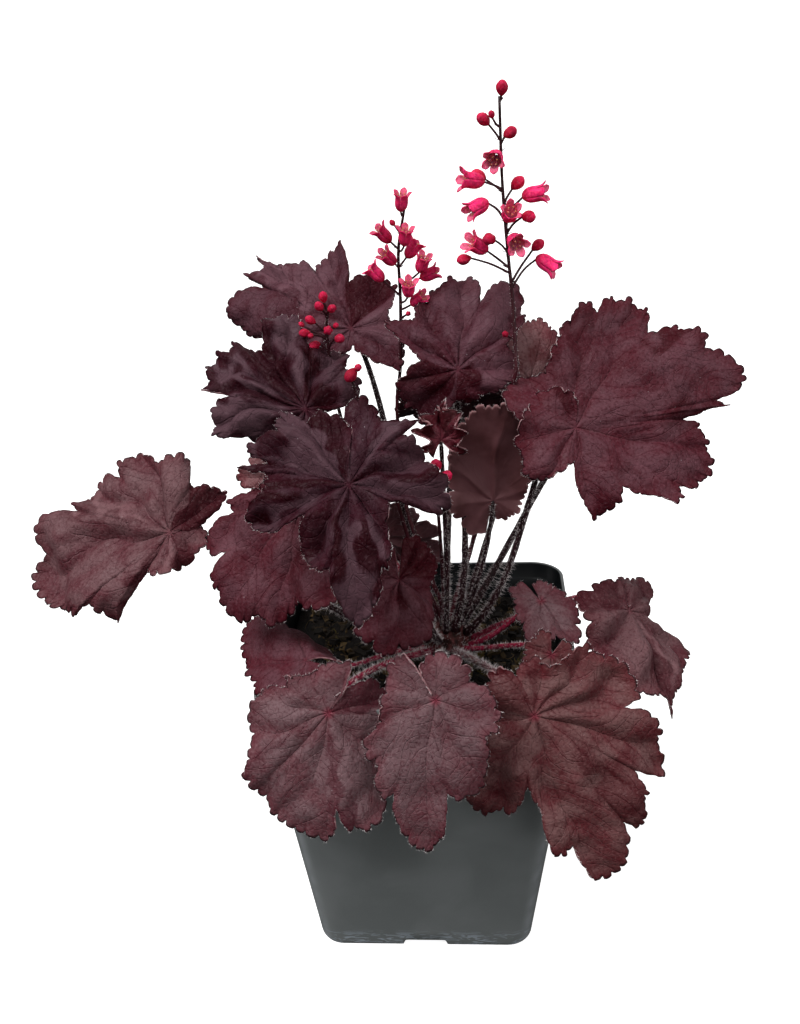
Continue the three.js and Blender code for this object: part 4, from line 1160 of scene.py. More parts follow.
@dataclass
class Leaf(SubAssembly):
    """A grown leaf: hairy petiole and a lobed, toothed, waved blade with sunken veins.

    Lengths are in mm, densities in hairs per mm. The border's teeth turn and shorten the columns
    from the share tooth_zone[0] of the reach on, fully after tooth_zone[1] more.
    """

    plan: LeafPlan
    tooth_width: float = 5.2
    tooth_depth: float = 0.38
    tooth_zone: Pair = (0.84, 0.16)
    end_gap: Pair = (10.0, 22.0)
    half_turn: float = 186.0
    end_share: float = 0.8
    thickness: float = 0.5
    vein_height: float = 0.45
    vein_width: float = 1.1
    vein_gap: float = 7.0
    vein_slope: float = 1.1
    groove_width: float = 2.0
    sway: float = 24.0
    pucker: float = 0.3
    undulation: float = 1.4
    crease: float = 0.9
    per_tooth: int = 6
    column_width: float = 1.1
    row_length: float = 1.5
    skip: int = 3
    hair_length: float = 1.9
    hair_radius: float = 0.06
    hair_density: float = 13.0
    thin_density: float = 9.0
    cilia_density: float = 2.0
    cilia_radius: float = 0.035

    def axes(self) -> tuple[Array, Array, Array]:
        """Ways of the blade: the midrib is turned by roll from straight down the blade's plane.

        Returns:
            Unit vectors of its face, its midrib and its right.
        """
        face = aim(*self.plan.face)
        down = unit(np.array([0.0, 0.0, -1.0]) + face * face[2])
        left = np.cross(face, down)
        turn = math.radians(self.plan.roll)
        mid = down * math.cos(turn) - left * math.sin(turn)
        return face, mid, np.cross(mid, face)

    def lobes(self) -> list[Pair]:
        """Angle and reach of every lobe, from the left side of the sinus round to the right."""
        plan = self.plan
        return [(-a, r) for a, r in reversed(plan.left)] + [(0.0, plan.mid), *plan.right]

    def veins(self) -> Array:
        """Main veins: the midrib and, to both sides, the lobes that are far enough on.

        Returns:
            Their angles, in rising order.
        """
        angles = [0.0]
        for sign, side in ((1, self.plan.right), (-1, self.plan.left)):
            last = 0.0
            for angle, _ in side:
                if angle - last >= self.plan.apart:
                    angles.append(sign * angle)
                    last = angle
        return np.array(sorted(angles))

    def stops(self) -> list[Pair]:
        """The lobes with an end of the blade, shorter, at either side of the sinus.

        An end lies at half_turn, which is past 180 because the two sides overlap, or else so that
        its gap to the last lobe is within end_gap.

        Returns:
            Angle and reach of each, from left to right.
        """
        lobes = self.lobes()
        first, last = lobes[0], lobes[-1]
        least, most = self.end_gap
        near = max(first[0] - most, min(-self.half_turn, first[0] - least))
        far = min(last[0] + most, max(self.half_turn, last[0] + least))
        return [(near, first[1] * self.end_share), *lobes, (far, last[1] * self.end_share)]

    def notch(self, near: float, far: float) -> Pair:
        """Depth and width of the notch between two lobes.

        Args:
            near: angle of one of them.
            far: angle of the next.

        Returns:
            The plan's cut there, or 0.28 for 60 degrees, from 0.06 to 0.30, at width 0.5.
        """
        for angle, depth, wide in self.plan.cuts:
            if near < angle < far:
                return depth, wide
        return min(max(0.28 * (far - near) / 60, 0.06), 0.30), 0.5

    @staticmethod
    def climb(near: float, far: float, t: Array) -> Array:
        """Reach between two stops, mostly a quarter sine wave, level at the one that stands out more."""
        share = np.sin(np.pi / 2 * t) if far > near else 1 - np.cos(np.pi / 2 * t)
        return near + (far - near) * (0.75 * share + 0.25 * smooth(t, 0, 1))

    def bitten(self, angle: Array, reach: Array, bite: Array) -> tuple[Array, Array]:
        """Turn and cut that move the border in by the bite, square to itself, never stepping back.

        The border's way is the difference of neighbouring points, turned by 90 degrees. Each
        column ends at least 0.02 degrees past the one before.

        Args:
            angle: the columns' angles.
            reach: their reaches.
            bite: how far each border point goes in, in mm.

        Returns:
            The turn in degrees and the cut in mm of each column.
        """
        border = self.around(reach, angle)[:, :2]
        way = unit(np.gradient(border, axis=0))
        moved = border - bite[:, None] * way[:, ::-1] * [1, -1]
        turn = np.degrees(np.arctan2(moved[:, 1], moved[:, 0])) - angle
        turned = angle + (turn + 180) % 360 - 180
        steps = 0.02 * np.arange(len(angle))
        turned = np.maximum.accumulate(turned - steps) + steps
        return turned - angle, reach - np.linalg.norm(moved, axis=1)

    def margin(self) -> Margin:
        """Columns round the blade.

        Between two stops the reach runs as in climb, less a lobe notch of depth * dip(t). The
        teeth's dips then go in square to the border, each of its own size.

        Returns:
            The columns.
        """
        draw = draws(self.plan.name + "_teeth")
        stops = self.plan.outline or self.stops()
        chunks = []
        for k, (a, b) in enumerate(zip(stops, stops[1:])):
            spread = b[0] - a[0]
            width = math.radians(spread) * (a[1] + b[1]) / 2
            length = math.hypot(width, b[1] - a[1])
            depth, wide = 0.0, 0.5
            teeth = round(length / self.tooth_width)
            if not self.plan.outline and 0 < k < len(stops) - 2:
                depth, wide = self.notch(a[0], b[0])
                teeth = max(2, teeth)
            fine = max(2, round(teeth * self.per_tooth / self.plan.coarse),
                       round(length / self.column_width))
            t = np.linspace(0, 1, fine, endpoint=False)
            size = draw.uniform(0.65, 1.3, teeth + 1)[(teeth * t + 1e-6).astype(int)]
            size = size * math.sqrt(width / length)
            bite = self.tooth_depth * length / max(teeth, 1) * size * dip(teeth * t % 1)
            reach = self.climb(a[1], b[1], t) * (1 - depth * dip(t, wide))
            chunks.append((a[0] + spread * t, reach, bite))
        chunks.append((np.array([stops[-1][0]]), np.array([stops[-1][1]]), np.zeros(1)))
        angle, reach, bite = (np.concatenate(part) for part in zip(*chunks))
        turn, cut = self.bitten(angle, reach, bite)
        return Margin(angle, reach, self.pleats(angle, draw), turn, cut)

    def pleats(self, angle: Array, draw: np.random.Generator) -> Array:
        """Weight of the pleats: sin^1.3 of half a turn from one main vein to the next.

        Each gap between veins has its own size and leans its own way, and wide gaps rise more.
        Past the last vein the weight grows to 0.3 over 20 degrees.

        Args:
            angle: the columns' angles.
            draw: where the random numbers come from.

        Returns:
            The weight of each column.
        """
        veins = self.veins()
        below = np.clip(np.searchsorted(veins, angle) - 1, 0, len(veins) - 2)
        gap = veins[below + 1] - veins[below]
        share = np.clip((angle - veins[below]) / gap, 0, 1)
        share = share ** draw.uniform(0.65, 1.5, len(veins))[below]
        past = np.maximum(veins[0] - angle, angle - veins[-1])
        size = np.clip(gap / 45, 0.3, 1.3) * draw.uniform(0.5, 1.3, len(veins))[below]
        return np.where(past > 0, 0.3 * np.clip(past / 20, 0, 1), np.sin(np.pi * share) ** 1.3 * size)

    def height(self, angle: Array, reach: Array, between: Array, s: Array) -> Array:
        """Height of the blade over its plane.

        It is a pleat between veins, a droop that grows with r^2, a margin ruffle, droop of the lobe
        tips and lift of the lobes at the sinus.

        Args:
            angle: angles from the midrib, in degrees.
            reach: the columns' reaches.
            between: pleat weights.
            s: shares of the reach.

        Returns:
            The height at each place, in mm.
        """
        form, plan = self.plan.form, self.plan
        r, turn = s * reach, np.radians(angle)
        phase = plan.hub[0] * 0.37 + plan.hub[2] * 0.11
        basal = np.clip((np.abs(angle) - 110) / 60, 0, 1)
        return (form.fold * r * between * (1.2 - s)
                - form.cup * r * r / plan.mid
                + form.ruffle * plan.mid * s**4 * np.sin(form.wave * turn + phase)
                - form.curl * r * s**3 * (1 - between)
                + form.lift * r * basal * basal * np.where(angle > 0, 1.0, 0.4))

    def blade(self) -> None:
        """Adds the blade: a polar grid, coarser near the hub, made thick and closed at its rim."""
        margin, plan = self.margin(), self.plan
        inner_s = np.array([0.05, 0.10, 0.155, 0.21, 0.265, 0.32, 0.37])
        rows = max(5, round(plan.mid * 0.6 / (self.row_length * plan.coarse)))
        outer_s = np.linspace(0.4, 1, rows)
        coarse = np.append(np.arange(0, len(margin.angle) - self.skip, self.skip), len(margin.angle) - 1)
        near, near_marks = self.points(margin, coarse, inner_s)
        far, far_marks = self.points(margin, slice(None), outer_s)
        points = np.concatenate([np.array(plan.hub, float)[None], near.reshape(-1, 3), far.reshape(-1, 3)])
        at_hub = {"run": 0.25, "edge": plan.mid}
        marks = {key: np.concatenate([[at_hub.get(key, 0.0)], values.ravel(), far_marks[key].ravel()])
                 for key, values in near_marks.items()}
        wide, few = len(margin.angle), len(coarse)
        begin = 1 + len(inner_s) * few
        inner = 1 + ring_quads(len(inner_s), few, closed=False)
        outer = begin + ring_quads(len(outer_s), wide, closed=False)
        join = self.joint(1 + (len(inner_s) - 1) * few, begin, coarse)
        k = 1 + np.arange(few - 1)
        fan = np.stack([np.zeros_like(k), k + 1, k], axis=-1)
        in_grid = 1 + np.arange(len(inner_s) * few).reshape(-1, few)
        out_grid = begin + np.arange(len(outer_s) * wide).reshape(-1, wide)
        loop = np.concatenate([[0], in_grid[:, -1], out_grid[:-1, -1], out_grid[-1, ::-1],
                               out_grid[-2::-1, 0], in_grid[::-1, 0]])
        ridge = self.vein_height * np.exp(-(marks["across"] / self.vein_width) ** 2)
        half = self.thickness * 0.5
        solid, upper, lower, rim = thicken(points, [inner, outer, join, fan], loop, half,
                                           half + ridge * smooth(marks["edge"], 0, 25))
        doubled = {key: np.tile(value, 2) for key, value in marks.items()}
        first = self.draft.add(solid, upper, LeafCoat.UPPER, **doubled)
        for group in lower:
            self.draft.more(group, first, LeafCoat.LOWER)
        self.draft.more(rim, first, LeafCoat.RIM, flat=True)
        self.cilia(solid[out_grid[-1]], solid[out_grid[-2]])

    @staticmethod
    def joint(inner: int, outer: int, coarse: Array) -> Array:
        """Triangles between a row of few points and the row of all points outside it.

        Each inner edge spans the outer points from one picked column to the next: the first
        half of them fan from its start, the others from its end.

        Args:
            inner: index of the inner row's first point.
            outer: index of the outer row's first point.
            coarse: columns of the outer row that the inner points stand on.

        Returns:
            (n, 3) indices.
        """
        triangles = []
        for k, (a, b) in enumerate(zip(coarse, coarse[1:])):
            middle = (a + b) // 2
            triangles += [(inner + k, outer + i + 1, outer + i) for i in range(a, middle)]
            triangles += [(inner + k + 1, outer + i + 1, outer + i) for i in range(middle, b)]
            triangles.append((inner + k, inner + k + 1, outer + middle))
        return np.array(triangles)

    @staticmethod
    def around(r: Array, angle: Array) -> Array:
        """Flat blade places at distances r from the hub and angles, in degrees, from the midrib."""
        turn = np.radians(angle)
        return np.stack([r * np.cos(turn), r * np.sin(turn), np.zeros_like(r)], axis=-1)

    def points(self, margin: Margin, pick: slice | Array, s: Array) -> tuple[Array, dict[str, Array]]:
        """Blade points on rows of s by columns of the margin, and their marks.

        Veins and pleats sway: their angle shifts by a wave that is 0 at the hub and the border.
        The mark run counts side veins, which leave a main vein at about 42 degrees, and between
        them a cushion stands up. The borders of the sectors of painted shade and painted highlight
        wander by a few degrees and mm.

        Args:
            margin: the blade's columns.
            pick: which columns are used.
            s: shares of the reach.

        Returns:
            The places, and the marks by name: across, edge and hub are distances in mm from the
            nearest main vein, the border and the hub. The crest mark is high on pleat crests and
            cushions, and there the upper side paints sheen. The marks wine and pale hold the painted
            shade and painted highlight of the plan's sectors.
        """
        plan, draw = self.plan, draws(self.plan.name)
        face, mid, right = self.axes()
        angle, reach = margin.angle[pick][None], margin.reach[pick][None]
        s = s[:, None]
        toothed = np.clip((s - self.tooth_zone[0]) / self.tooth_zone[1], 0, 1)
        angle = angle + margin.turn[pick][None] * toothed
        r = s * reach - margin.cut[pick][None] * toothed
        flat = self.around(r, angle)
        ribs = angle + self.sway * s * (1 - s) * ripple(flat, 40, draw)
        between = np.interp(ribs, margin.angle, margin.between)
        away = np.minimum(np.radians(np.abs(ribs[..., None] - self.veins()).min(-1)), np.pi / 2)
        across, along = r * np.sin(away), r * np.cos(away)
        run = (along - self.vein_slope * across + 2.6 * ripple(flat, 22, draw)) / self.vein_gap
        cushion = 1 - (2 * (run % 1) - 1) ** 2
        relief = self.relief(flat, s, across, cushion, draw) * smooth(r, 2, 16)
        small = plan.relief * min(1.0, plan.mid / 40)
        flat[..., 2] = self.height(angle, reach, between, s) + relief * small
        for fold in plan.folds:
            flat = fold.bend(flat)
        places = np.array(plan.hub) + flat @ np.stack([mid, right, face])
        # Painted light: the plan's sectors of painted shade and painted highlight, with wandering borders.
        border = angle + 4 * ripple(flat, 13, draw), r + 1.5 * ripple(flat, 9, draw)
        tone = sum((part.weight(*border) for part in plan.painted_light), np.zeros(r.shape))
        # The crest mark sets where the upper side paints sheen.
        return places, {"across": np.broadcast_to(across, r.shape), "run": run,
                        "edge": (1 - s) * reach, "hub": r,
                        "swell": between * 0.5 + cushion * 0.4 + 0.25 * ripple(flat, 12, draw),
                        "wine": np.clip(tone, 0, 1), "pale": np.clip(-tone, 0, 1)}

    def relief(self, flat: Array, s: Array, across: Array, cushion: Array,
               draw: np.random.Generator) -> Array:
        """Relief of the skin: cushions away from main veins and border, swells of three lengths,
        sharp creases where a wave passes 0, and a groove along each main vein.

        Args:
            flat: places in the blade's plane.
            s: shares of the reach.
            across: distances from the nearest main vein.
            cushion: height of the cushions, from 0 to 1.
            draw: where the random numbers come from.

        Returns:
            The height at each place, in mm.
        """
        return (self.pucker * cushion * smooth(across, 0.5, 4) * (1 - smooth(s, 0.8, 1.0))
                * (0.7 + 0.5 * ripple(flat, 14, draw))
                + self.undulation * ripple(flat, 25, draw) * (0.4 + 0.9 * s)
                + self.crease * np.abs(ripple(flat, 30, draw)) * (0.3 + s)
                + 0.35 * self.undulation * ripple(flat, 11, draw)
                + 0.12 * ripple(flat, 4.5, draw, 14)
                - self.vein_height * np.exp(-(across / self.groove_width) ** 2))

    def cilia(self, border: Array, inside: Array) -> None:
        """Adds short hairs that stand out from the margin.

        Args:
            border: (n, 3) points of the upper face's border.
            inside: (n, 3) points of the row inside it.
        """
        draw = draws(self.plan.name + "_cilia")
        count = int(len(border) * self.cilia_density)
        spot = draw.uniform(0, len(border) - 1.001, count)
        k, t = spot.astype(int), (spot % 1)[:, None]
        roots = border[k] * (1 - t) + border[k + 1] * t
        out = unit(roots - inside[k])
        ways = unit(out + draw.normal(0, 0.35, (count, 3)))
        add_hairs(self.draft, roots - out * 0.1, ways, draw.uniform(0.4, 1.3, count), self.cilia_radius,
                  LeafCoat.HAIR)

    def petiole(self) -> None:
        """Adds the petiole, a tapered bar with a swollen foot, and the hairs along it."""
        plan = self.plan
        face, mid, _ = self.axes()
        place, out = CROWN.seat(*plan.seat)
        hub = np.array(plan.hub, float)
        length = float(np.linalg.norm(hub - place))
        turn = math.radians(plan.approach)
        arrive = -face * math.cos(turn) - mid * math.sin(turn)
        bow = np.array(plan.bow)
        path = bezier(place, place + out * length * 0.38 + bow, hub + arrive * length * 0.26 + bow,
                      hub - face * 0.45, 40)
        s = np.linspace(0, 1, len(path))
        foot, top = (1.2, 0.85) if plan.thin else (1.55, 1.05)
        draw = draws(plan.name + "_petiole")
        radius = foot + (top - foot) * s
        radius = radius * (1 + 0.25 * np.exp(-s * 16)) * (1 - 0.45 * smooth(s, 0.97, 1.0))
        radius = radius * (1 + 0.05 * ripple(path, 9, draw))
        add_tube(self.draft, path, radius, 10, LeafCoat.STALK, along=s)
        count = int(length * (self.thin_density if plan.thin else self.hair_density))
        roots, ways = stalk_hairs(path, radius, draw.uniform(0.02, 0.985, count), 0.08, 0.2, draw)
        reach = self.hair_length * (0.7 if plan.thin else 1.15) * draw.uniform(0.45, 1.25, count)
        add_hairs(self.draft, roots, ways, reach, self.hair_radius, LeafCoat.HAIR)

    def build(self, finishes: Finishes) -> bpy.types.Object:
        """Builds the leaf's piece, dresses it and puts it in its node's place.

        Args:
            finishes: the materials that pieces share.

        Returns:
            The piece.
        """
        self.blade()
        self.petiole()
        look = [*finishes.blades[self.plan.skin], finishes.stalks[self.plan.stalk], finishes.hair]
        piece = self.draft.build(f"grown_leaf_{self.plan.name}", look)
        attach(piece, "root")
        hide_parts(f"leaf_{self.plan.name}")
        return piece


class Finishes:
    """Materials that several pieces share, made once each.

    blades holds the upper side, underside and rim of every kind of blade, and petals the outer side,
    the inner side and the anther.
    """

    def __init__(self) -> None:
        """Makes the finishes of the blades, stalks, hairs and petals."""
        petal = PetalFinish()
        self.blades = {s: [s.value.upper(), s.value.lower(), s.value.rim()] for s in Skin}
        self.stalks = {s: s.value.material() for s in Stalk}
        self.hair = HairFinish("plant_hair", (0.97, 0.88, 0.88)).material()
        self.petals = [petal.material("petal_outer", False), petal.material("petal_inner", True),
                       Paint("anther", Roughness=0.6).finish((0.55, 0.22, 0.10))]


# ---------------------------------------------------------------- flower scapes


class Bloom(Enum):
    """Kinds of flower head; the value is how far the pedicel's end lies behind the centre."""

    BUD = 2.4
    SMALL = 1.4
    FADED = 1.5
    BELL = 4.8


Head = tuple[Bloom, float, float, float, float, float, float]
BUD, SMALL, FADED, BELL = Bloom.BUD, Bloom.SMALL, Bloom.FADED, Bloom.BELL


@dataclass(frozen=True)
class ScapePlan:
    """One flower scape: points of its stem from the top down, its seat and its heads.

    A head is its kind, centre x, y, z, height of the stem point that it hangs on, and the azimuth
    and elevation of the way that its mouth looks. deep is how dark the petals are, and size scales
    every head.
    """

    name: str
    seat: tuple[str, float]
    stem: tuple[Triple, ...]
    heads: tuple[Head, ...]
    deep: float = 0.0
    size: float = 1.0


SCAPES = (
    ScapePlan(
        "tall", seat=("D", 85),
        stem=(
            (35, 10, 356), (36, 10, 326), (38, 9, 300), (40, 8, 280), (41, 5, 262), (41, 3, 250),
            (36, 8, 237), (31, 12, 212), (24, 13, 175)),
        heads=(
            (BUD, 36, 10, 359, 354, 10, 70), (BUD, 29, 9, 348, 340, -60, 40),
            (SMALL, 32, 7, 350, 345, -20, 60), (BUD, 39, 9, 343, 336, 60, 30),
            (BELL, 33, 5, 334, 330, -10, -10), (BELL, 24, 9, 326, 322, -75, 10),
            (BUD, 27, 13, 327, 321, -120, 20), (BELL, 26, 6, 316, 310, -60, -20),
            (BELL, 49, 10, 320, 310, 75, 10), (BUD, 42, 12, 324, 316, 110, 40),
            (BELL, 39, 4, 314, 306, 10, 30), (BUD, 46, 7, 312, 305, 50, 0), (BUD, 31, 6, 304, 298, -40, 10),
            (BELL, 41, 3, 303, 297, 10, -10), (BELL, 26, 10, 301, 292, -60, 30),
            (BUD, 21, 8, 296, 290, -80, -10), (BELL, 54, 9, 293, 284, 70, -30),
            (BUD, 50, 12, 300, 286, 90, 40), (FADED, 37, 3, 267, 264, -20, 30))),
    ScapePlan(
        "middle", seat=("D", 200), deep=0.2, size=0.84,
        stem=(
            (-3, 31, 312), (-6, 32, 295), (-6, 34, 274), (-7, 34, 246), (-9, 32, 226), (-7, 27, 187),
            (4, 14, 155)),
        heads=(
            (BELL, -4, 31, 315.5, 310, 20, 72), (SMALL, -8, 30, 307, 302, -60, 50),
            (BELL, -12, 30, 302.5, 296, -75, 48), (BELL, -2.8, 28, 302, 295, 20, 68),
            (BELL, -10, 25, 294, 287, -50, 42), (BELL, 0, 34, 295.5, 288, 100, 50),
            (BELL, 4, 27, 291, 281, 40, 62), (BELL, 7, 31, 285.5, 279, 85, 22),
            (BELL, -16, 33, 286, 276, -90, 45), (BELL, -2, 26, 281, 273, 10, 60),
            (BELL, 2, 29, 275.5, 270, 60, 35), (SMALL, -2.5, 27, 270, 266, 20, 20))),
    ScapePlan(
        "left", seat=("D", 250), deep=0.28, size=0.84,
        stem=((-36, 27, 272), (-37, 27, 260), (-33, 26, 225), (-18, 21, 175)),
        heads=(
            (BUD, -37.5, 26, 278, 274, 0, 75), (BUD, -39.2, 24, 274.6, 270, -40, 50),
            (BUD, -34, 24, 273.5, 268.5, 50, 30), (BUD, -43.5, 26, 268.4, 261, -75, 35),
            (BUD, -46, 24, 263.4, 259.5, -85, 5), (SMALL, -43.4, 22.5, 262.6, 260, -40, 0),
            (BUD, -36, 23, 264.6, 259, 10, 20), (SMALL, -32.8, 25, 266.2, 261, 60, 30),
            (BUD, -31.3, 22, 261.3, 255, 50, 10), (BUD, -42.5, 26, 257.5, 252, -60, -10),
            (SMALL, -47.5, 26.5, 266.6, 260.5, -90, 40))),
    ScapePlan(
        "single", seat=("D", 305), deep=0.35,
        stem=((-24, -8, 253), (-21, -8, 243), (-12, -4, 215), (-2, 1, 170)),
        heads=((BUD, -24, -9, 255, 251, -50, -40), (SMALL, -21, -9, 258, 252, 30, 50))),
    ScapePlan(
        "short", seat=("D", 5), deep=0.1,
        stem=((9, -18, 217), (9, -13, 203), (10, -4, 170)),
        heads=(
            (BUD, 9, -19, 220, 217, 0, 70), (BUD, 5, -20, 216, 212, -50, 30),
            (BUD, 13, -20, 216, 212, 50, 30), (BUD, 9, -22, 211, 208, 0, 10))),
)


@dataclass(frozen=True)
class PetalFinish:
    """Coral calyx: a deep base that pales to the lobes, darker on older heads."""

    base: Triple = (0.60, 0.006, 0.042)
    lobe: Triple = (0.98, 0.028, 0.175)
    pale: Triple = (0.98, 0.30, 0.44)
    dark: Triple = (0.17, 0.004, 0.014)

    def material(self, name: str, inside: bool) -> bpy.types.Material:
        """One face of the petals, streaked and blotched, darker where the mark deep says.

        Args:
            name: name of the material.
            inside: whether it is the paler inner face, painted palest deep in the bell as light through the
                petals.

        Returns:
            The material.
        """
        paint = Paint(name, Roughness=0.5, Specular_IOR_Level=0.08, Subsurface_Weight=0.15,
                      Subsurface_Scale=0.002)
        along, streaks = paint.mark("along"), paint.noise(0.9, 3)
        if inside:
            # The inner face is paler pink; deep in the bell, where shade falls, it is painted palest, which
            # stands in for light through the thin petals.
            colour = paint.cover(self.lobe, self.pale, along, 0.4, 1.0, 1.0, 0.35)
        else:
            colour = paint.cover(self.base, self.lobe, along, 0.0, 0.6)
        colour = paint.cover(colour, self.pale, streaks, 0.45, 0.8, 0, 0.22)
        colour = paint.cover(colour, self.dark, paint.noise(1.7, 2), 0.45, 0.7, 0, 0.45)
        paint.bump(streaks, 0.3)
        return paint.finish(paint.mix(paint.mark("deep"), colour, self.dark))


class ScapeCoat(IntEnum):
    """A scape's finishes, in their order on the piece."""

    STEM, OUTER, INNER, ANTHER, HAIR = range(5)


SEPALS = 5
BELL_PROFILE = ((-5.5, 0.5), (-5.1, 1.3), (-4.2, 2.1), (-2.4, 2.8), (-0.6, 2.9), (1.2, 2.75),
                (2.6, 3.0), (3.7, 3.6), (4.5, 4.3))
BUD_PROFILE = ((-3.2, 0.5), (-2.6, 1.1), (-1.6, 1.8), (-0.4, 2.2), (0.8, 2.25), (1.9, 1.8),
               (2.7, 1.1), (3.1, 0.3))
SMALL_PROFILE = ((-2, 0.4), (-1.5, 0.85), (-0.7, 1.3), (0.3, 1.35), (1.1, 1.0), (1.7, 0.3))


@dataclass
class Scape(SubAssembly):
    """A flower scape: stem, bracts, pedicels, buds and open bells, as one grown piece.

    A profile is pairs of place on the head's axis and radius. The bell's sepals are free, and
    narrow to a rounded tip, from the share free[0] of their length on, over free[1].
    """

    plan: ScapePlan
    stem_top: float = 0.55
    stem_foot: float = 1.15
    pedicel: float = 0.42
    free: Pair = (0.62, 0.385)
    half_sepal: float = 0.16
    furrow: float = 0.13
    bud_sides: int = 15
    down_density: float = 3.0
    down_radius: float = 0.06
    draw: np.random.Generator = field(init=False)

    def __post_init__(self) -> None:
        """Starts the scape's own random draws."""
        self.draw = draws(self.plan.name + "_scape")

    def stem_path(self) -> Array:
        """Smooth path of the stem from its top down to its seat."""
        place, out = CROWN.seat(*self.plan.seat)
        return resample(np.array([*self.plan.stem, tuple(place + out * 9), tuple(place)], float), 8)

    def add_bell(self, centre: Array, axis: Array, deep: float) -> None:
        """Adds an open bell of five joined sepals with free spread lobes, stamens inside.

        A sepal is a grid of w across (-1 to 1) and v along (0 to 1): radius and place on the axis
        follow a profile of v, with a rib down the middle and a lobe that curls its own way.

        Args:
            centre: its middle.
            axis: unit vector towards its mouth.
            deep: how dark it is.
        """
        spin = self.draw.uniform(0, 6.28)
        profile = self.plan.size * np.array(BELL_PROFILE)
        v, w = np.linspace(0, 1, 12), np.linspace(-1, 1, 7)
        knots = np.linspace(0, 1, len(profile))
        along, radius = (np.interp(v, knots, column) for column in profile.T)
        radius = radius + (self.draw.uniform(0.8, 1.25) - 1) * 2.4 * smooth(v, 0.6, 1.0)
        start, span = self.free
        tip = np.sqrt(np.clip(1 - ((v - start) / span) ** 2, 0.02, 1)) * 0.93
        half = np.where(v < start, 1.0, tip)
        side = unit(np.cross(axis, [0.0, 0.0, 1.0] if abs(axis[2]) < 0.9 else [1.0, 0.0, 0.0]))
        other = np.cross(axis, side)
        for k in range(SEPALS):
            turn = spin + 2 * math.pi * k / SEPALS + (w[None] * half[:, None]) * (math.pi / SEPALS)
            curl = self.draw.uniform(-0.3, 0.5)
            rib = 0.18 * (1 - w[None] ** 2) * smooth(v, 0.05, 0.3)[:, None]
            reach = radius[:, None] + rib + curl * smooth(v, 0.7, 1.0)[:, None] ** 2
            spoke = np.cos(turn)[..., None] * side + np.sin(turn)[..., None] * other
            grid = centre + along[:, None, None] * axis + reach[..., None] * spoke
            points, upper, lower, rim = thicken(
                grid.reshape(-1, 3), [ring_quads(len(v), len(w), False)], sheet_loop(len(v), len(w)),
                self.half_sepal, self.half_sepal)
            level = np.tile(np.repeat(v, len(w)), 2)
            first = self.draft.add(points, upper, ScapeCoat.OUTER, along=level, deep=deep)
            for group in lower:
                self.draft.more(group, first, ScapeCoat.INNER)
            self.draft.more(rim, first, ScapeCoat.OUTER)
        for k in range(SEPALS):
            turn = spin + 2 * math.pi * (k + 0.5) / SEPALS
            self.add_stamen(centre, axis, math.cos(turn) * side + math.sin(turn) * other, deep)

    def add_stamen(self, centre: Array, axis: Array, spoke: Array, deep: float) -> None:
        """Adds a thread that leans out along the axis, with an anther on its tip.

        Args:
            centre: the bell's middle.
            axis: unit vector towards the bell's mouth.
            spoke: unit vector away from the axis.
            deep: how dark it is.
        """
        foot, tip = centre - axis * 3 + spoke * 0.7, centre + axis * 2.6 + spoke * 1.5
        thread = np.linspace(foot, tip, 4)
        add_tube(self.draft, thread, np.full(4, 0.13), 4, ScapeCoat.INNER, along=0.2, deep=deep)
        ball = np.linspace(tip - axis * 0.35, tip + axis * 0.35, 4)
        add_tube(self.draft, ball, np.array([0.12, 0.36, 0.36, 0.1]), 5, ScapeCoat.ANTHER)

    def add_bud(self, centre: Array, axis: Array, small: bool, deep: float) -> None:
        """Adds a closed bud: an egg with five shallow furrows, on a short neck.

        Args:
            centre: its middle.
            axis: unit vector towards its tip.
            small: whether it is one of the small ones.
            deep: how dark it is.
        """
        profile = np.array(SMALL_PROFILE if small else BUD_PROFILE)
        profile = profile * (self.plan.size * self.draw.uniform(0.9, 1.06))
        turn = np.linspace(0, 2 * np.pi, self.bud_sides, endpoint=False)
        fade = np.sin(np.linspace(0, np.pi, len(profile)))[:, None]
        radius = profile[:, 1:] * (1 - self.furrow * np.cos(SEPALS * turn)[None] * fade)
        add_tube(self.draft, centre + profile[:, :1] * axis, radius, self.bud_sides, ScapeCoat.OUTER,
                 along=np.linspace(0.0, 0.25, len(profile)), deep=deep)

    def add_bract(self, root: Array, way: Array, length: float) -> None:
        """Adds a thin pointed bract that leaves the stem at a branch and bends up.

        Args:
            root: where it leaves the stem.
            way: unit vector that it leaves in.
            length: its length.
        """
        t = np.linspace(0, 1, 6)
        line = root + way * (t * length)[:, None] + np.array([0, 0, 1.0]) * (0.25 * length * t**2)[:, None]
        side = unit(np.cross(way, [0.0, 0.0, 1.0]) + 1e-6)
        half = 0.45 * np.sqrt(np.clip(1 - t, 0.01, 1)) * (0.6 + t)
        grid = line[:, None] + side * (half[:, None, None] * np.array([-1.0, 0.0, 1.0])[None, :, None])
        add_sheet(self.draft, grid, 0.2, ScapeCoat.STEM, along=0.5)

    def add_head(self, path: Array, head: Head) -> None:
        """Adds one flower head with its bract and its pedicel, which bends at an elbow.

        Args:
            path: (n, 3) points of the stem.
            head: the plan's values of it.
        """
        kind, x, y, z, at, azimuth, elevation = head
        centre, axis = np.array([x, y, z], float), aim(azimuth, elevation)
        root = self.stem_point(path, at)
        back = centre - axis * kind.value
        branch = resample(np.stack([root, root + (back - root) * 0.55 - axis * 1.2, back]), 5)
        radius = np.linspace(self.pedicel + 0.1, self.pedicel, len(branch))
        add_tube(self.draft, branch, radius, 6, ScapeCoat.STEM, along=0.6)
        self.add_bract(root, unit((back - root) * [1, 1, 0.2]), self.draw.uniform(1.6, 3.2))
        deep = float(np.clip(self.plan.deep + self.draw.uniform(-0.15, 0.3), 0, 0.8))
        if kind is Bloom.BELL:
            self.add_bell(centre, axis, deep)
        else:
            wear_and_gleam = 0.75 if kind is Bloom.FADED else 0.12
            self.add_bud(centre, axis, kind is not Bloom.BUD, min(deep + wear_and_gleam, 1))

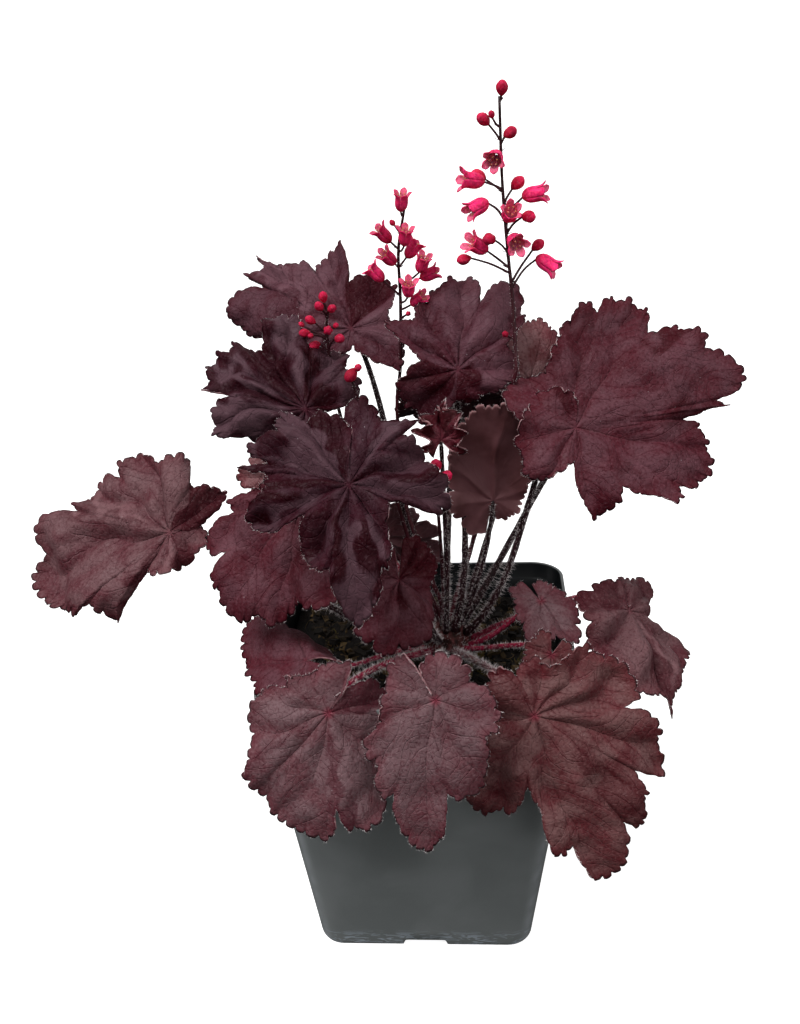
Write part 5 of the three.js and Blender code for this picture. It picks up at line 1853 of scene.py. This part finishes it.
    def build(self, finishes: Finishes) -> bpy.types.Object:
        """Builds the scape's piece, dresses it and puts it in its node's place.

        Args:
            finishes: the materials that pieces share.

        Returns:
            The piece.
        """
        path = self.stem_path()
        s = np.linspace(0, 1, len(path))
        radius = self.stem_top + (self.stem_foot - self.stem_top) * s
        rough = 1 + 0.04 * ripple(path, 7, self.draw)
        add_tube(self.draft, path, radius * rough, 9, ScapeCoat.STEM, along=1 - s)
        self.add_down(path, radius)
        for head in self.plan.heads:
            self.add_head(path, head)
        look = [finishes.stalks[Stalk.SCAPE], *finishes.petals, finishes.hair]
        piece = self.draft.build(f"grown_scape_{self.plan.name}", look)
        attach(piece, "root")
        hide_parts(f"scape_{self.plan.name}")
        return piece

    def add_down(self, path: Array, radius: Array) -> None:
        """Adds the short hairs of the stem, denser and longer towards its foot.

        Args:
            path: (n, 3) points of the stem.
            radius: (n,) radii of the stem.
        """
        length = float(np.linalg.norm(np.diff(path, axis=0), axis=1).sum())
        count = int(length * self.down_density)
        spot = 1 - self.draw.uniform(0, 1, count) ** 1.4
        roots, ways = stalk_hairs(path, radius, spot, 0.06, 0.25, self.draw)
        lengths = self.draw.uniform(0.3, 0.8, count) * (0.6 + spot)
        add_hairs(self.draft, roots, ways, lengths, self.down_radius, ScapeCoat.HAIR)

    @staticmethod
    def stem_point(path: Array, z: float) -> Array:
        """Point of the stem at a height."""
        order = np.argsort(path[:, 2])
        return np.array([np.interp(z, path[order, 2], path[order, i]) for i in range(3)])


# ---------------------------------------------------------------- pot


@dataclass
class Pot(SubAssembly):
    """Square moulded nursery pot: tapered walls, a proud rim band and a raised, drained base.

    notch_edges are the shares of a side's flat half where a notch starts and ends. The walls bow
    inwards by up to bow, over bow_half to both sides of their middles.
    """

    top_width: float = 130.0
    bottom_width: float = 95.0
    height: float = 136.0
    top_corner: float = 14.0
    bottom_corner: float = 11.0
    wall: float = 1.8
    band_height: float = 8.0
    band_proud: float = 0.9
    skirt: float = 4.0
    plate: float = 2.0
    foot_radius: float = 13.0
    notch_half: float = 9.0
    notch_height: float = 3.5
    notch_edges: Pair = (0.238, 0.272)
    drain_radius: float = 4.0
    drain_ring: float = 29.0
    drains: int = 8
    bow: float = 0.35
    bow_half: float = 55.0
    side_points: int = 25
    corner_points: int = 10

    def ring(self, z: float, inset: float) -> Array:
        """Points round the wall at a height, moved in from its outer face.

        The square's width and its corner radius change straight with height. The four sides have
        points at the same shares of their length at every height.

        Args:
            z: the height.
            inset: how far in from the outer face.

        Returns:
            (n, 3) points.
        """
        share = z / self.height
        half = (self.bottom_width + (self.top_width - self.bottom_width) * share) / 2 - inset
        corner = max(self.bottom_corner + (self.top_corner - self.bottom_corner) * share - inset, 0.4)
        flat = half - corner
        t = np.sort(np.concatenate([np.linspace(-1, 1, self.side_points - 4), self.notch_edges,
                                    np.negative(self.notch_edges)]))
        a = np.linspace(0, np.pi / 2, self.corner_points + 2)[1:-1]
        side = np.stack([np.full(len(t), half), t * flat], axis=-1)
        bend = flat + corner * np.stack([np.cos(a), np.sin(a)], axis=-1)
        quarter = np.concatenate([side, bend])
        turns = [np.array([[c, s], [-s, c]]) for c, s in ((1, 0), (0, 1), (-1, 0), (0, -1))]
        flat_ring = np.concatenate([quarter @ turn for turn in turns])
        return np.column_stack([flat_ring, np.full(len(flat_ring), z)])

    def notched(self, ring: Array) -> Array:
        """Lifts a low ring over the notch in the middle of each side.

        Args:
            ring: (n, 3) points.

        Returns:
            The points, none lower than the notch.
        """
        near = np.minimum(np.abs(ring[:, 0]), np.abs(ring[:, 1]))
        lift = self.notch_height * np.clip((self.notch_half + 0.9 - near) / 1.2, 0, 1)
        out = ring.copy()
        out[:, 2] = np.maximum(out[:, 2], lift)
        return out

    def outside(self) -> list[Pair]:
        """Rings up the outside: rounded foot, wall, ledge, rim band and lip.

        Returns:
            Height and inset of each.
        """
        band, top, lip = self.height - self.band_height, self.height, self.band_proud
        foot = [(0.0, 1.25), (0.12, 0.85), (0.45, 0.5), (1.0, 0.25), (1.8, 0.06), (2.6, 0.0), (3.6, 0.0),
                (8, 0.0)]
        wall = [(z, 0.0) for z in np.linspace(16, band - 6, 12)]
        ledge = [(band - 0.4, 0.0), (band, -0.05), (band + 0.25, -0.4), (band + 0.5, -lip + 0.08),
                 (band + 0.9, -lip)]
        return foot + wall + ledge + [
            (top - 4, -lip - 0.05), (top - 1.0, -lip), (top - 0.4, -lip + 0.15), (top - 0.1, -lip + 0.45),
            (top, -lip + 0.8), (top - 0.05, self.wall - lip - 0.35)]

    def inside(self) -> list[Pair]:
        """Rings down the inside: lip, rim band, wall, and the skirt round the raised plate.

        Returns:
            Height and inset of each.
        """
        band, top, lip = self.height - self.band_height, self.height, self.wall - self.band_proud
        rim = [(top - 0.3, lip - 0.1), (top - 0.8, lip), (band + 1.0, lip), (band + 0.5, self.wall - 0.5),
               (band, self.wall)]
        wall = [(z, self.wall) for z in np.linspace(band - 6, 16, 10)]
        return rim + wall + [(8, self.wall + 0.2), (5.2, self.wall + 1.0), (self.skirt, self.wall + 0.8),
                             (1.5, self.wall + 0.8), (0.3, self.wall + 0.6), (0.0, self.wall + 0.2)]

    def build(self) -> bpy.types.Object:
        """Builds the pot's piece, dresses it and puts it in its node's place.

        Returns:
            The piece.
        """
        outside = self.outside()
        rows = outside + self.inside()
        rings = []
        for z, inset in rows:
            ring = self.notched(self.ring(float(z), float(inset)))
            rings.append(ring + self.sag(ring, float(z))[:, None] * unit(ring * [1, 1, 0]))
        count = len(rings[0])
        body = np.concatenate(rings)
        quads = ring_quads(len(rings) + 1, count) % len(body)
        # The inner wall is marked for its painted shade, and the rounded outer corners for their painted
        # highlight strips.
        within = [float(k >= len(outside) and z > 5) for k, (z, _) in enumerate(rows)]
        inside = np.repeat(within, count)
        slope = np.sort(np.abs(body[:, :2]), axis=1)
        corner = smooth(slope[:, 0] / slope[:, 1], 0.86, 0.99) * (1 - inside)
        self.draft.add(body, [quads], 0, inside=inside, corner=corner)
        self.add_plate()
        self.add_post()
        piece = self.draft.build("moulded_pot", [self.plastic()])
        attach(piece, "root")
        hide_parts("pot")
        return piece

    def sag(self, ring: Array, z: float) -> Array:
        """Inward bow of the walls: a cosine from their middles, a half sine up to the rim band.

        Args:
            ring: (n, 3) points.
            z: their height.

        Returns:
            (n,) moves along the way out from the pot's middle.
        """
        near = np.minimum(np.abs(ring[:, 0]), np.abs(ring[:, 1]))
        span = np.cos(np.clip(near / self.bow_half, 0, 1) * np.pi / 2)
        share = z / (self.height - self.band_height)
        return -self.bow * span * math.sin(math.pi * min(max(share, 0), 1))

    def add_plate(self) -> None:
        """Adds the base plate in eight sectors, each a fan of rays round its own drain hole.

        From the hole's centre a ray runs to the nearest of the sector's two sides, the middle
        foot's circle and the wall: the distance to a line is its offset over the ray's slope to it.
        """
        turn = np.linspace(0, 2 * np.pi, 48, endpoint=False)
        ray = np.stack([np.cos(turn), np.sin(turn)], axis=-1)
        share = np.linspace(0, 1, 5)
        rows = [(self.skirt, t) for t in share] + [(self.skirt + self.plate, t) for t in share[::-1]]
        half = self.bottom_width / 2 - self.wall + 0.3
        diagonal, corner_cut, far = 0.7071, 4.2, 1e3
        walls = [((1, 0), half), ((-1, 0), half), ((0, 1), half), ((0, -1), half)]
        walls += [((x * diagonal, y * diagonal), half * 2 * diagonal - corner_cut)
                  for x in (1, -1) for y in (1, -1)]
        for k in range(self.drains):
            middle = math.pi / self.drains + math.pi * k / (self.drains / 2)
            centre = self.drain_ring * np.array([math.cos(middle), math.sin(middle)])
            reach = np.full(len(turn), far)
            sides = [((-math.sin(b), math.cos(b)), 0.0)
                     for b in (middle - math.pi / self.drains, middle + math.pi / self.drains)]
            for normal, offset in sides + walls:
                slope = ray @ np.array(normal)
                gap = offset - centre @ np.array(normal)
                hit = np.where(slope * gap > 1e-6, gap / np.where(np.abs(slope) > 1e-6, slope, 1), far)
                reach = np.minimum(reach, hit)
            b = ray @ centre
            root = b * b - (self.drain_ring**2 - (self.foot_radius - 0.4) ** 2)
            hit = np.where((root > 0) & (b < 0), -b - np.sqrt(np.maximum(root, 0)), far)
            span = np.minimum(reach, hit) - self.drain_radius
            rings = [centre + ray * (self.drain_radius + span * t)[:, None] for _, t in rows]
            points = np.concatenate([np.column_stack([ring, np.full(len(turn), z)])
                                     for ring, (z, _) in zip(rings, rows)])
            quads = ring_quads(len(rows) + 1, len(turn)) % len(points)
            self.draft.add(points, [quads[:, ::-1]], 0, flat=True)

    def add_post(self) -> None:
        """Adds the round foot in the middle of the base: rings of their own height and radius."""
        turn = np.linspace(0, 2 * np.pi, 40, endpoint=False)
        circle = np.stack([np.cos(turn), np.sin(turn), np.zeros(len(turn))], axis=-1)
        radius, core, top = self.foot_radius, self.foot_radius * 0.2, self.skirt + 0.5
        rows = [(0.0, core), (0.0, radius - 0.9), (0.3, radius - 0.3), (1.0, radius), (top, radius),
                (top, core)]
        rings = [circle * r + [0, 0, z] for z, r in rows]
        points = np.concatenate([*rings, [[0, 0, 0], [0, 0, top]]])
        self.draft.add(points, capped(len(rows), len(turn)), 0, flat=True)

    @staticmethod
    def plastic() -> bpy.types.Material:
        """Dark green-grey moulded plastic, satin, dusty, with pale scuffs near its foot, painted highlight
        strips down its rounded outer corners and a painted-shade inner wall, nearly black.

        Returns:
            The material.
        """
        paint = Paint("pot_plastic", Specular_IOR_Level=0.22)
        dust = paint.range(paint.noise(28, 4, 0.5), 0.35, 0.7)
        colour = paint.mix(dust, (0.127, 0.138, 0.138), (0.150, 0.161, 0.162))
        height = paint.node("SeparateXYZ", {0: paint.place()}).outputs[2]
        low = paint.range(height, 0.004, 0.011, 1.0, 0.0)
        scratch = paint.range(paint.noise(2.6, 5, 1.2, (0.35, 0.35, 1.6)), 0.50, 0.60)
        colour = paint.coat(colour, (0.29, 0.33, 0.37), paint.math("MULTIPLY", low, scratch), 0.85)
        colour = paint.cover(colour, (0.15, 0.158, 0.16), paint.noise(0.8, 2), 0.45, 0.8, 0, 0.18)
        # Painted highlight: paler strips down the rounded outer corners, patchy by noise.
        wear_and_gleam = paint.range(paint.noise(9, 3), 0.3, 0.7, 0.3, 0.7)
        colour = paint.coat(colour, (0.27, 0.285, 0.30), paint.mark("corner"), wear_and_gleam)
        # Painted shade: the inner wall, nearly black.
        colour = paint.mix(paint.mark("inside"), colour, (0.003, 0.004, 0.005))
        paint.bump(paint.math("ADD", paint.noise(1.1, 3), paint.noise(20, 1)), 0.05)
        return paint.finish(colour, paint.range(dust, 0, 1, 0.34, 0.46))


# ---------------------------------------------------------------- soil and crown


class SoilCoat(IntEnum):
    """The soil's finishes, in their order on the piece."""

    EARTH, BARK, MOSS = range(3)


@dataclass
class Soil(SubAssembly):
    """Root ball: a block that fills the pot, with a crumbly top, bark, roots and moss on it.

    The top's lumps run in cells by cells waves inside a border along the pot's wall. reach is how
    far from the middle loose bits lie.
    """

    pot: Pot
    level: float = 119.0
    foot: float = 6.6
    clearance: float = 0.3
    border: float = 5.0
    cells: int = 6
    bump: float = 1.6
    rings: int = 64
    chips: int = 1500
    threads: int = 170
    thread_points: int = 6
    tufts: int = 130
    spikes: int = 34
    reach: float = 54.0
    draw: np.random.Generator = field(default_factory=lambda: draws("soil"), init=False)

    def top(self, x: Array, y: Array, draw: np.random.Generator) -> Array:
        """Height of the top: the same gentle lumps as the block's, with crumbs of three sizes.

        Args:
            x: places to the right.
            y: places towards the back.
            draw: where the random numbers come from.

        Returns:
            The height at each place.
        """
        pot, inset = self.pot, self.pot.wall + self.clearance
        wide = pot.bottom_width + (pot.top_width - pot.bottom_width) * self.level / pot.height
        span = wide - 2 * inset - 2 * self.border
        i, j = (x / span + 0.5) * self.cells, (y / span + 0.5) * self.cells
        lump = np.sin(2.1 * i + 1.3 * j) + np.sin(1.7 * j - 2.6 * i + 1)
        edge = np.maximum(np.abs(x), np.abs(y)) * 2 / span
        rise = (1.2 + self.bump * (lump + 2) / 4) * (1 - smooth(edge, 0.9, 1.02))
        flat = np.stack([x, y, np.zeros_like(x)], axis=-1)
        crumbs = (0.9 * ripple(flat, 11, draw) + 0.6 * ripple(flat, 5, draw, 14)
                  + 0.45 * np.abs(ripple(flat, 2.4, draw, 16)))
        return self.level + rise + crumbs * (1 - smooth(edge, 0.98, 1.1))

    def build(self) -> bpy.types.Object:
        """Builds the soil's piece, dresses it and puts it in its node's place.

        Returns:
            The piece.
        """
        inset = self.pot.wall + self.clearance
        rim = self.pot.ring(self.level, inset)
        share = np.linspace(0.004, 1, self.rings)
        grid = rim[None, :, :2] * share[:, None, None]
        x, y = grid[..., 0], grid[..., 1]
        z = self.top(x, y, self.draw)
        top = np.stack([x, y, z], axis=-1)[::-1]
        walls = [self.pot.ring(h, inset + i)
                 for h, i in ((self.foot, 2.2), (9.0, 0.2), (60.0, 0.0), (116.0, 0.0))]
        rings = np.concatenate([np.stack(walls), top])
        ends = [[0, 0, self.foot], [0, 0, float(z[0].mean())]]
        points = np.concatenate([rings.reshape(-1, 3), ends])
        self.draft.add(points, capped(*rings.shape[:2]), SoilCoat.EARTH)
        self.add_chips()
        self.add_roots()
        self.add_moss()
        piece = self.draft.build("potting_soil", [self.earth(), self.bark(), self.moss()])
        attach(piece, "root")
        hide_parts("soil")
        return piece

    def spots(self, count: int, half: float) -> Array:
        """Random places on the soil's top, up to half mm to each side of its middle."""
        x, y = self.draw.uniform(-half, half, (2, count))
        return np.stack([x, y, self.top(x, y, draws("soil"))], axis=-1)

    def add_chips(self) -> None:
        """Adds crumbs and bark chips: boxes with moved corners, most of them lying flat."""
        corners = np.array([[x, y, z] for x in (-1, 1) for y in (-1, 1) for z in (-1, 1)], float)
        faces = np.array([[0, 1, 3, 2], [4, 6, 7, 5], [0, 4, 5, 1], [2, 3, 7, 6], [0, 2, 6, 4],
                          [1, 5, 7, 3]])
        count = self.chips
        size = self.draw.uniform(0.25, 1.0, (count, 1)) ** 2 * [[3.2, 1.6, 0.9]] + 0.35
        shape = corners[None] * size[:, None] * self.draw.uniform(0.6, 1.2, (count, 8, 3))
        spin, tilt = self.draw.uniform(0, 2 * np.pi, count), self.draw.normal(0, 0.35, count)
        c, s, ct, st = (wave(a)[:, None] for a in (spin, tilt) for wave in (np.cos, np.sin))
        x = shape[..., 0] * ct - shape[..., 2] * st
        z = shape[..., 0] * st + shape[..., 2] * ct
        y = shape[..., 1]
        turned = np.stack([x * c - y * s, x * s + y * c, z], axis=-1)
        points = (turned + self.spots(count, self.reach)[:, None]).reshape(-1, 3)
        index = (8 * np.arange(count)[:, None, None] + faces).reshape(-1, 4)
        tone = np.repeat(self.draw.uniform(0, 1, count) ** 4, 8)
        self.draft.add(points, [index], SoilCoat.BARK, flat=True, tone=tone)

    def add_roots(self) -> None:
        """Adds thin pale roots and fibres that lie over the soil, each bent evenly along its way."""
        steps, edge = np.arange(self.thread_points), self.reach + 2
        for start in self.spots(self.threads, self.reach):
            way, bend = self.draw.uniform(0, 2 * np.pi), self.draw.normal(0, 0.35)
            step = self.draw.uniform(0.8, 2.2)
            turn = way + bend * steps
            x = np.clip(start[0] + np.cumsum(np.cos(turn) * step), -edge, edge)
            y = np.clip(start[1] + np.cumsum(np.sin(turn) * step), -edge, edge)
            z = self.top(x, y, draws("soil")) + self.draw.uniform(0.1, 0.9, len(steps))
            add_tube(self.draft, np.stack([x, y, z], axis=-1), np.linspace(0.2, 0.08, len(steps)), 4,
                     SoilCoat.BARK, tone=float(self.draw.uniform(0.6, 1.0)))

    def add_moss(self) -> None:
        """Adds tufts of moss, most of them at the front right: spikes that lean out from a middle."""
        middles = self.spots(self.tufts, self.reach - 2)
        weight = np.exp(-((middles[:, 0] - 34) / 22) ** 2 - ((middles[:, 1] + 10) / 34) ** 2)
        keep = middles[self.draw.uniform(0, 1, self.tufts) < 0.08 + weight]
        offset = self.draw.normal(0, 1.5, (len(keep), self.spikes, 3)) * [1, 1, 0.1]
        roots = (keep[:, None] + offset).reshape(-1, 3) - [0, 0, 0.4]
        ways = unit(offset.reshape(-1, 3) * 0.35 + [0, 0, 1] + self.draw.normal(0, 0.3, (len(roots), 3)))
        add_hairs(self.draft, roots, ways, self.draw.uniform(0.8, 2.2, len(roots)), 0.22, SoilCoat.MOSS)

    @staticmethod
    def earth() -> bpy.types.Material:
        """Dark damp peat with paler grains.

        Returns:
            The material.
        """
        paint = Paint("soil_earth", Roughness=0.9, Specular_IOR_Level=0.25)
        colour = paint.cover((0.0020, 0.0012, 0.0012), (0.007, 0.004, 0.003), paint.noise(7, 4), 0.35, 0.7)
        colour = paint.cover(colour, (0.07, 0.045, 0.025), paint.noise(1.2, 3), 0.66, 0.78, 0, 0.5)
        paint.bump(paint.noise(0.9, 5), 0.6)
        return paint.finish(colour)

    @staticmethod
    def bark() -> bpy.types.Material:
        """Bark chips and fibres, from nearly black to tan, by each one's own tone.

        Returns:
            The material.
        """
        paint = Paint("soil_bark", Roughness=0.85, Specular_IOR_Level=0.25)
        grain = paint.noise(0.8, 4, 0.4)
        colour = paint.mix(paint.mark("tone"), (0.004, 0.0025, 0.002), (0.12, 0.075, 0.03))
        paint.bump(grain, 0.3)
        return paint.finish(paint.cover(colour, (0.012, 0.008, 0.005), grain, 0.4, 0.7, 0, 0.5))

    @staticmethod
    def moss() -> bpy.types.Material:
        """Olive to golden moss."""
        paint = Paint("soil_moss", Roughness=0.8, Specular_IOR_Level=0.2)
        return paint.finish(paint.mix(paint.noise(5, 2), (0.055, 0.050, 0.010), (0.16, 0.115, 0.025)))


@dataclass
class Rootstock(SubAssembly):
    """Woody crown: a rough dome on a stub, wrapped in papery brown scales."""

    crown: Crown = CROWN
    stub_radius: float = 7.0
    stub_foot: float = 105.0
    neck: float = 122.4
    collar: float = 125.2
    sides: int = 36
    scales: int = 60
    hairs: int = 700
    hair_foot: float = 123.0
    draw: np.random.Generator = field(default_factory=lambda: draws("crown"), init=False)

    def rows(self) -> list[Pair]:
        """Rings of the stub, the collar under the dome, and the dome.

        Returns:
            Radius and height of each.
        """
        radius, middle = self.crown.radius, self.crown.place[2]
        stub = [(self.stub_radius - 2, self.stub_foot), (self.stub_radius, self.stub_foot + 3),
                (self.stub_radius, 114.0), (self.stub_radius, self.neck), (10.0, 123.6),
                (12.2, self.collar)]
        turns = [math.radians(a) for a in (66, 56, 46, 36, 26, 16, 8, 2)]
        return stub + [(radius * math.sin(a), middle + radius * math.cos(a)) for a in turns]

    def build(self, finishes: Finishes) -> bpy.types.Object:
        """Builds the crown's piece, dresses it and puts it in its node's place.

        Args:
            finishes: the materials that pieces share.

        Returns:
            The piece.
        """
        place, rows = np.array(self.crown.place), self.rows()
        path = np.array([[*place[:2], z] for _, z in rows])
        turn = np.linspace(0, 2 * np.pi, self.sides, endpoint=False)
        circle = np.stack([np.cos(turn), np.sin(turn), np.zeros(self.sides)], axis=-1)
        rings = path[:, None] + circle[None] * np.array([r for r, _ in rows])[:, None, None]
        rough = 0.45 * ripple(rings, 5, self.draw) * smooth(rings[..., 2], 121, 124)
        rings = rings + rough[..., None] * unit(rings - place)
        points = np.concatenate([rings.reshape(-1, 3), path[[0, -1]]])
        self.draft.add(points, capped(len(rows), self.sides), 0)
        for _ in range(self.scales):
            self.add_scale()
        self.add_fuzz()
        piece = self.draft.build("grown_crown", [self.wood(), finishes.hair])
        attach(piece, "root")
        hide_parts("crown")
        return piece

    def add_fuzz(self) -> None:
        """Adds the hairs between the stalk feet, which stand on the dome and lean upwards."""
        ways = unit(self.draw.normal(size=(self.hairs, 3)) * [1, 1, 0.5] + [0, 0, 0.45])
        roots = np.array(self.crown.place) + ways * (self.crown.radius - 0.2)
        keep = roots[:, 2] > self.hair_foot
        ways = unit(ways + self.draw.normal(0, 0.4, (self.hairs, 3)))
        lengths = self.draw.uniform(1.0, 2.6, self.hairs)
        add_hairs(self.draft, roots[keep], ways[keep], lengths[keep], 0.09, 1)

    def add_scale(self) -> None:
        """Adds one papery scale: a narrow leaf that stands on the dome and bends outwards."""
        out = aim(self.draw.uniform(0, 360), self.draw.uniform(8, 75))
        root = np.array(self.crown.place) + out * (self.crown.radius - 0.4)
        side = unit(np.cross(out, [0.0, 0.0, 1.0]))
        rise = unit(np.cross(side, out))
        length = self.draw.uniform(3.5, 8.0)
        t = np.linspace(0, 1, 7)
        line = root + (rise * length * 0.8)[None] * t[:, None] + out * (length * 0.45 * t**2)[:, None]
        half = self.draw.uniform(1.0, 1.9) * np.sqrt(np.clip(1 - t**2, 0.004, 1))
        w = np.array([-1.0, -0.5, 0.0, 0.5, 1.0])
        grid = (line[:, None] + side * (half[:, None, None] * w[None, :, None])
                - out * (0.5 * (w**2)[None, :, None]))
        add_sheet(self.draft, grid, 0.25, 0)

    @staticmethod
    def wood() -> bpy.types.Material:
        """Dark brown, fibrous, with red-brown patches.

        Returns:
            The material.
        """
        paint = Paint("crown_wood", Roughness=0.75, Specular_IOR_Level=0.3)
        colour = paint.cover((0.030, 0.012, 0.010), (0.13, 0.035, 0.035), paint.noise(3, 4), 0.35, 0.7)
        paint.bump(paint.noise(0.7, 4, 0.3, (1, 1, 0.3)), 0.4)
        return paint.finish(colour)


# ---------------------------------------------------------------- studio


@dataclass(frozen=True)
class Lamp:
    """A distant lamp: the way towards it, how wide it looks in degrees, and its strength."""

    name: str
    toward: Triple
    spread: float
    strength: float


LAMPS = (
    Lamp("key", (-0.6, -0.45, 1.15), 36.0, 2.9),
    Lamp("fill", (0.4, -1.3, 0.45), 60.0, 0.7),
    Lamp("left", (-1.3, -0.25, 0.2), 30.0, 0.4),
    Lamp("right", (1.3, -0.3, 0.3), 30.0, 0.7),
    Lamp("back", (0.3, 1.3, 0.5), 60.0, 0.5),
)


@dataclass
class Studio:
    """Plain pale floor, soft light from all round and a camera at a fixed place.

    The floor is flat out to near, and rises to its far edge. sky is the strength of the
    surroundings at the horizon and overhead. focal and frame_height are in pixels.
    """

    distance: float = 506.0
    elevation: float = 23.6
    azimuth: float = 3.9
    roll: float = -2.2
    target: Pair = (-7.3, 191.8)
    focal: float = 1200.0
    frame_height: float = 1024.0
    sensor: float = 36.0
    near: float = 4000.0
    far: float = 80000.0
    rise: float = 60000.0
    sky: Pair = (0.02, 0.7)

    def build(self) -> None:
        """Makes the floor, the light and the camera."""
        self.floor()
        self.light()
        self.camera()

    def floor(self) -> None:
        """A wide floor that rises far away; it glows a little and throws nothing onto the plant."""
        square = np.array([[-1, -1, 0], [1, -1, 0], [1, 1, 0], [-1, 1, 0]], float)
        corners = np.concatenate([square * self.near, square * self.far + [0, 0, self.rise]])
        sides = np.array([[4 + i, 4 + (i + 1) % 4, (i + 1) % 4, i] for i in range(4)])
        draft = Draft()
        draft.add(corners, [np.array([[0, 1, 2, 3]]), sides], 0)
        paint = Paint("floor_white", Roughness=0.9, Specular_IOR_Level=0.0,
                      Emission_Color=(1.0, 1.0, 1.0, 1.0), Emission_Strength=0.9)
        piece = draft.build("floor", [paint.finish((0.5, 0.5, 0.5))])
        piece.visible_glossy = piece.visible_diffuse = piece.visible_shadow = False

    def light(self) -> None:
        """Surroundings that brighten upwards, a broad soft key from high at the left, weak fills."""
        scene = bpy.context.scene
        scene.view_settings.view_transform = "Standard"
        scene.world = bpy.data.worlds.new("studio")
        scene.world.use_nodes = True
        tree = scene.world.node_tree
        background = tree.nodes["Background"]
        background.inputs[0].default_value = (1.0, 1.0, 1.0, 1.0)
        way = tree.nodes.new("ShaderNodeTexCoord")
        split = tree.nodes.new("ShaderNodeSeparateXYZ")
        ramp = tree.nodes.new("ShaderNodeMapRange")
        horizon, overhead = self.sky
        for key, value in (("From Min", 0.0), ("From Max", 0.95), ("To Min", horizon), ("To Max", overhead)):
            ramp.inputs[key].default_value = value
        tree.links.new(way.outputs["Generated"], split.inputs[0])
        tree.links.new(split.outputs[2], ramp.inputs["Value"])
        tree.links.new(ramp.outputs[0], background.inputs[1])
        for lamp in LAMPS:
            sun = bpy.data.lights.new(lamp.name, "SUN")
            sun.angle, sun.energy = math.radians(lamp.spread), lamp.strength
            holder = bpy.data.objects.new(lamp.name, sun)
            scene.collection.objects.link(holder)
            holder.rotation_euler = (-Vector(lamp.toward)).to_track_quat("-Z", "Y").to_euler()

    def camera(self) -> None:
        """Camera on a sphere round the target, rolled a little about its view line."""
        back = aim(self.azimuth, self.elevation)
        a, roll = math.radians(self.azimuth), math.radians(self.roll)
        level = np.array([math.cos(a), math.sin(a), 0.0])
        above = np.cross(back, level)
        right = level * math.cos(roll) + above * math.sin(roll)
        up = above * math.cos(roll) - level * math.sin(roll)
        place = (np.array([self.target[0], 0.0, self.target[1]]) + back * self.distance) * MM
        lens = bpy.data.cameras.new("view")
        lens.sensor_width = self.sensor
        lens.lens = self.sensor * self.focal / self.frame_height
        lens.clip_start, lens.clip_end = 0.01, 300.0
        holder = bpy.data.objects.new("view", lens)
        bpy.context.scene.collection.objects.link(holder)
        turned = np.column_stack([right, up, back])
        holder.matrix_world = Matrix.Translation(Vector(place)) @ Matrix(turned.tolist()).to_4x4()
        bpy.context.scene.camera = holder


# ---------------------------------------------------------------- assembly


def report(piece: bpy.types.Object) -> None:
    """Logs a piece's name and how many triangles it has."""
    sizes = np.zeros(len(piece.data.polygons), np.int32)
    piece.data.polygons.foreach_get("loop_total", sizes)
    log.info("%s: %d triangles", piece.name, int((sizes - 2).sum()))


def main() -> None:
    """Builds every sub-assembly in order."""
    logging.basicConfig(level=logging.INFO, format="%(name)s %(message)s")
    Studio().build()
    finishes = Finishes()
    pot = Pot()
    report(pot.build())
    report(Soil(pot).build())
    report(Rootstock().build(finishes))
    for leaf in LEAVES:
        report(Leaf(leaf).build(finishes))
    for scape in SCAPES:
        report(Scape(scape).build(finishes))
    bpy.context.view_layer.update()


if __name__ == "__main__":
    main()
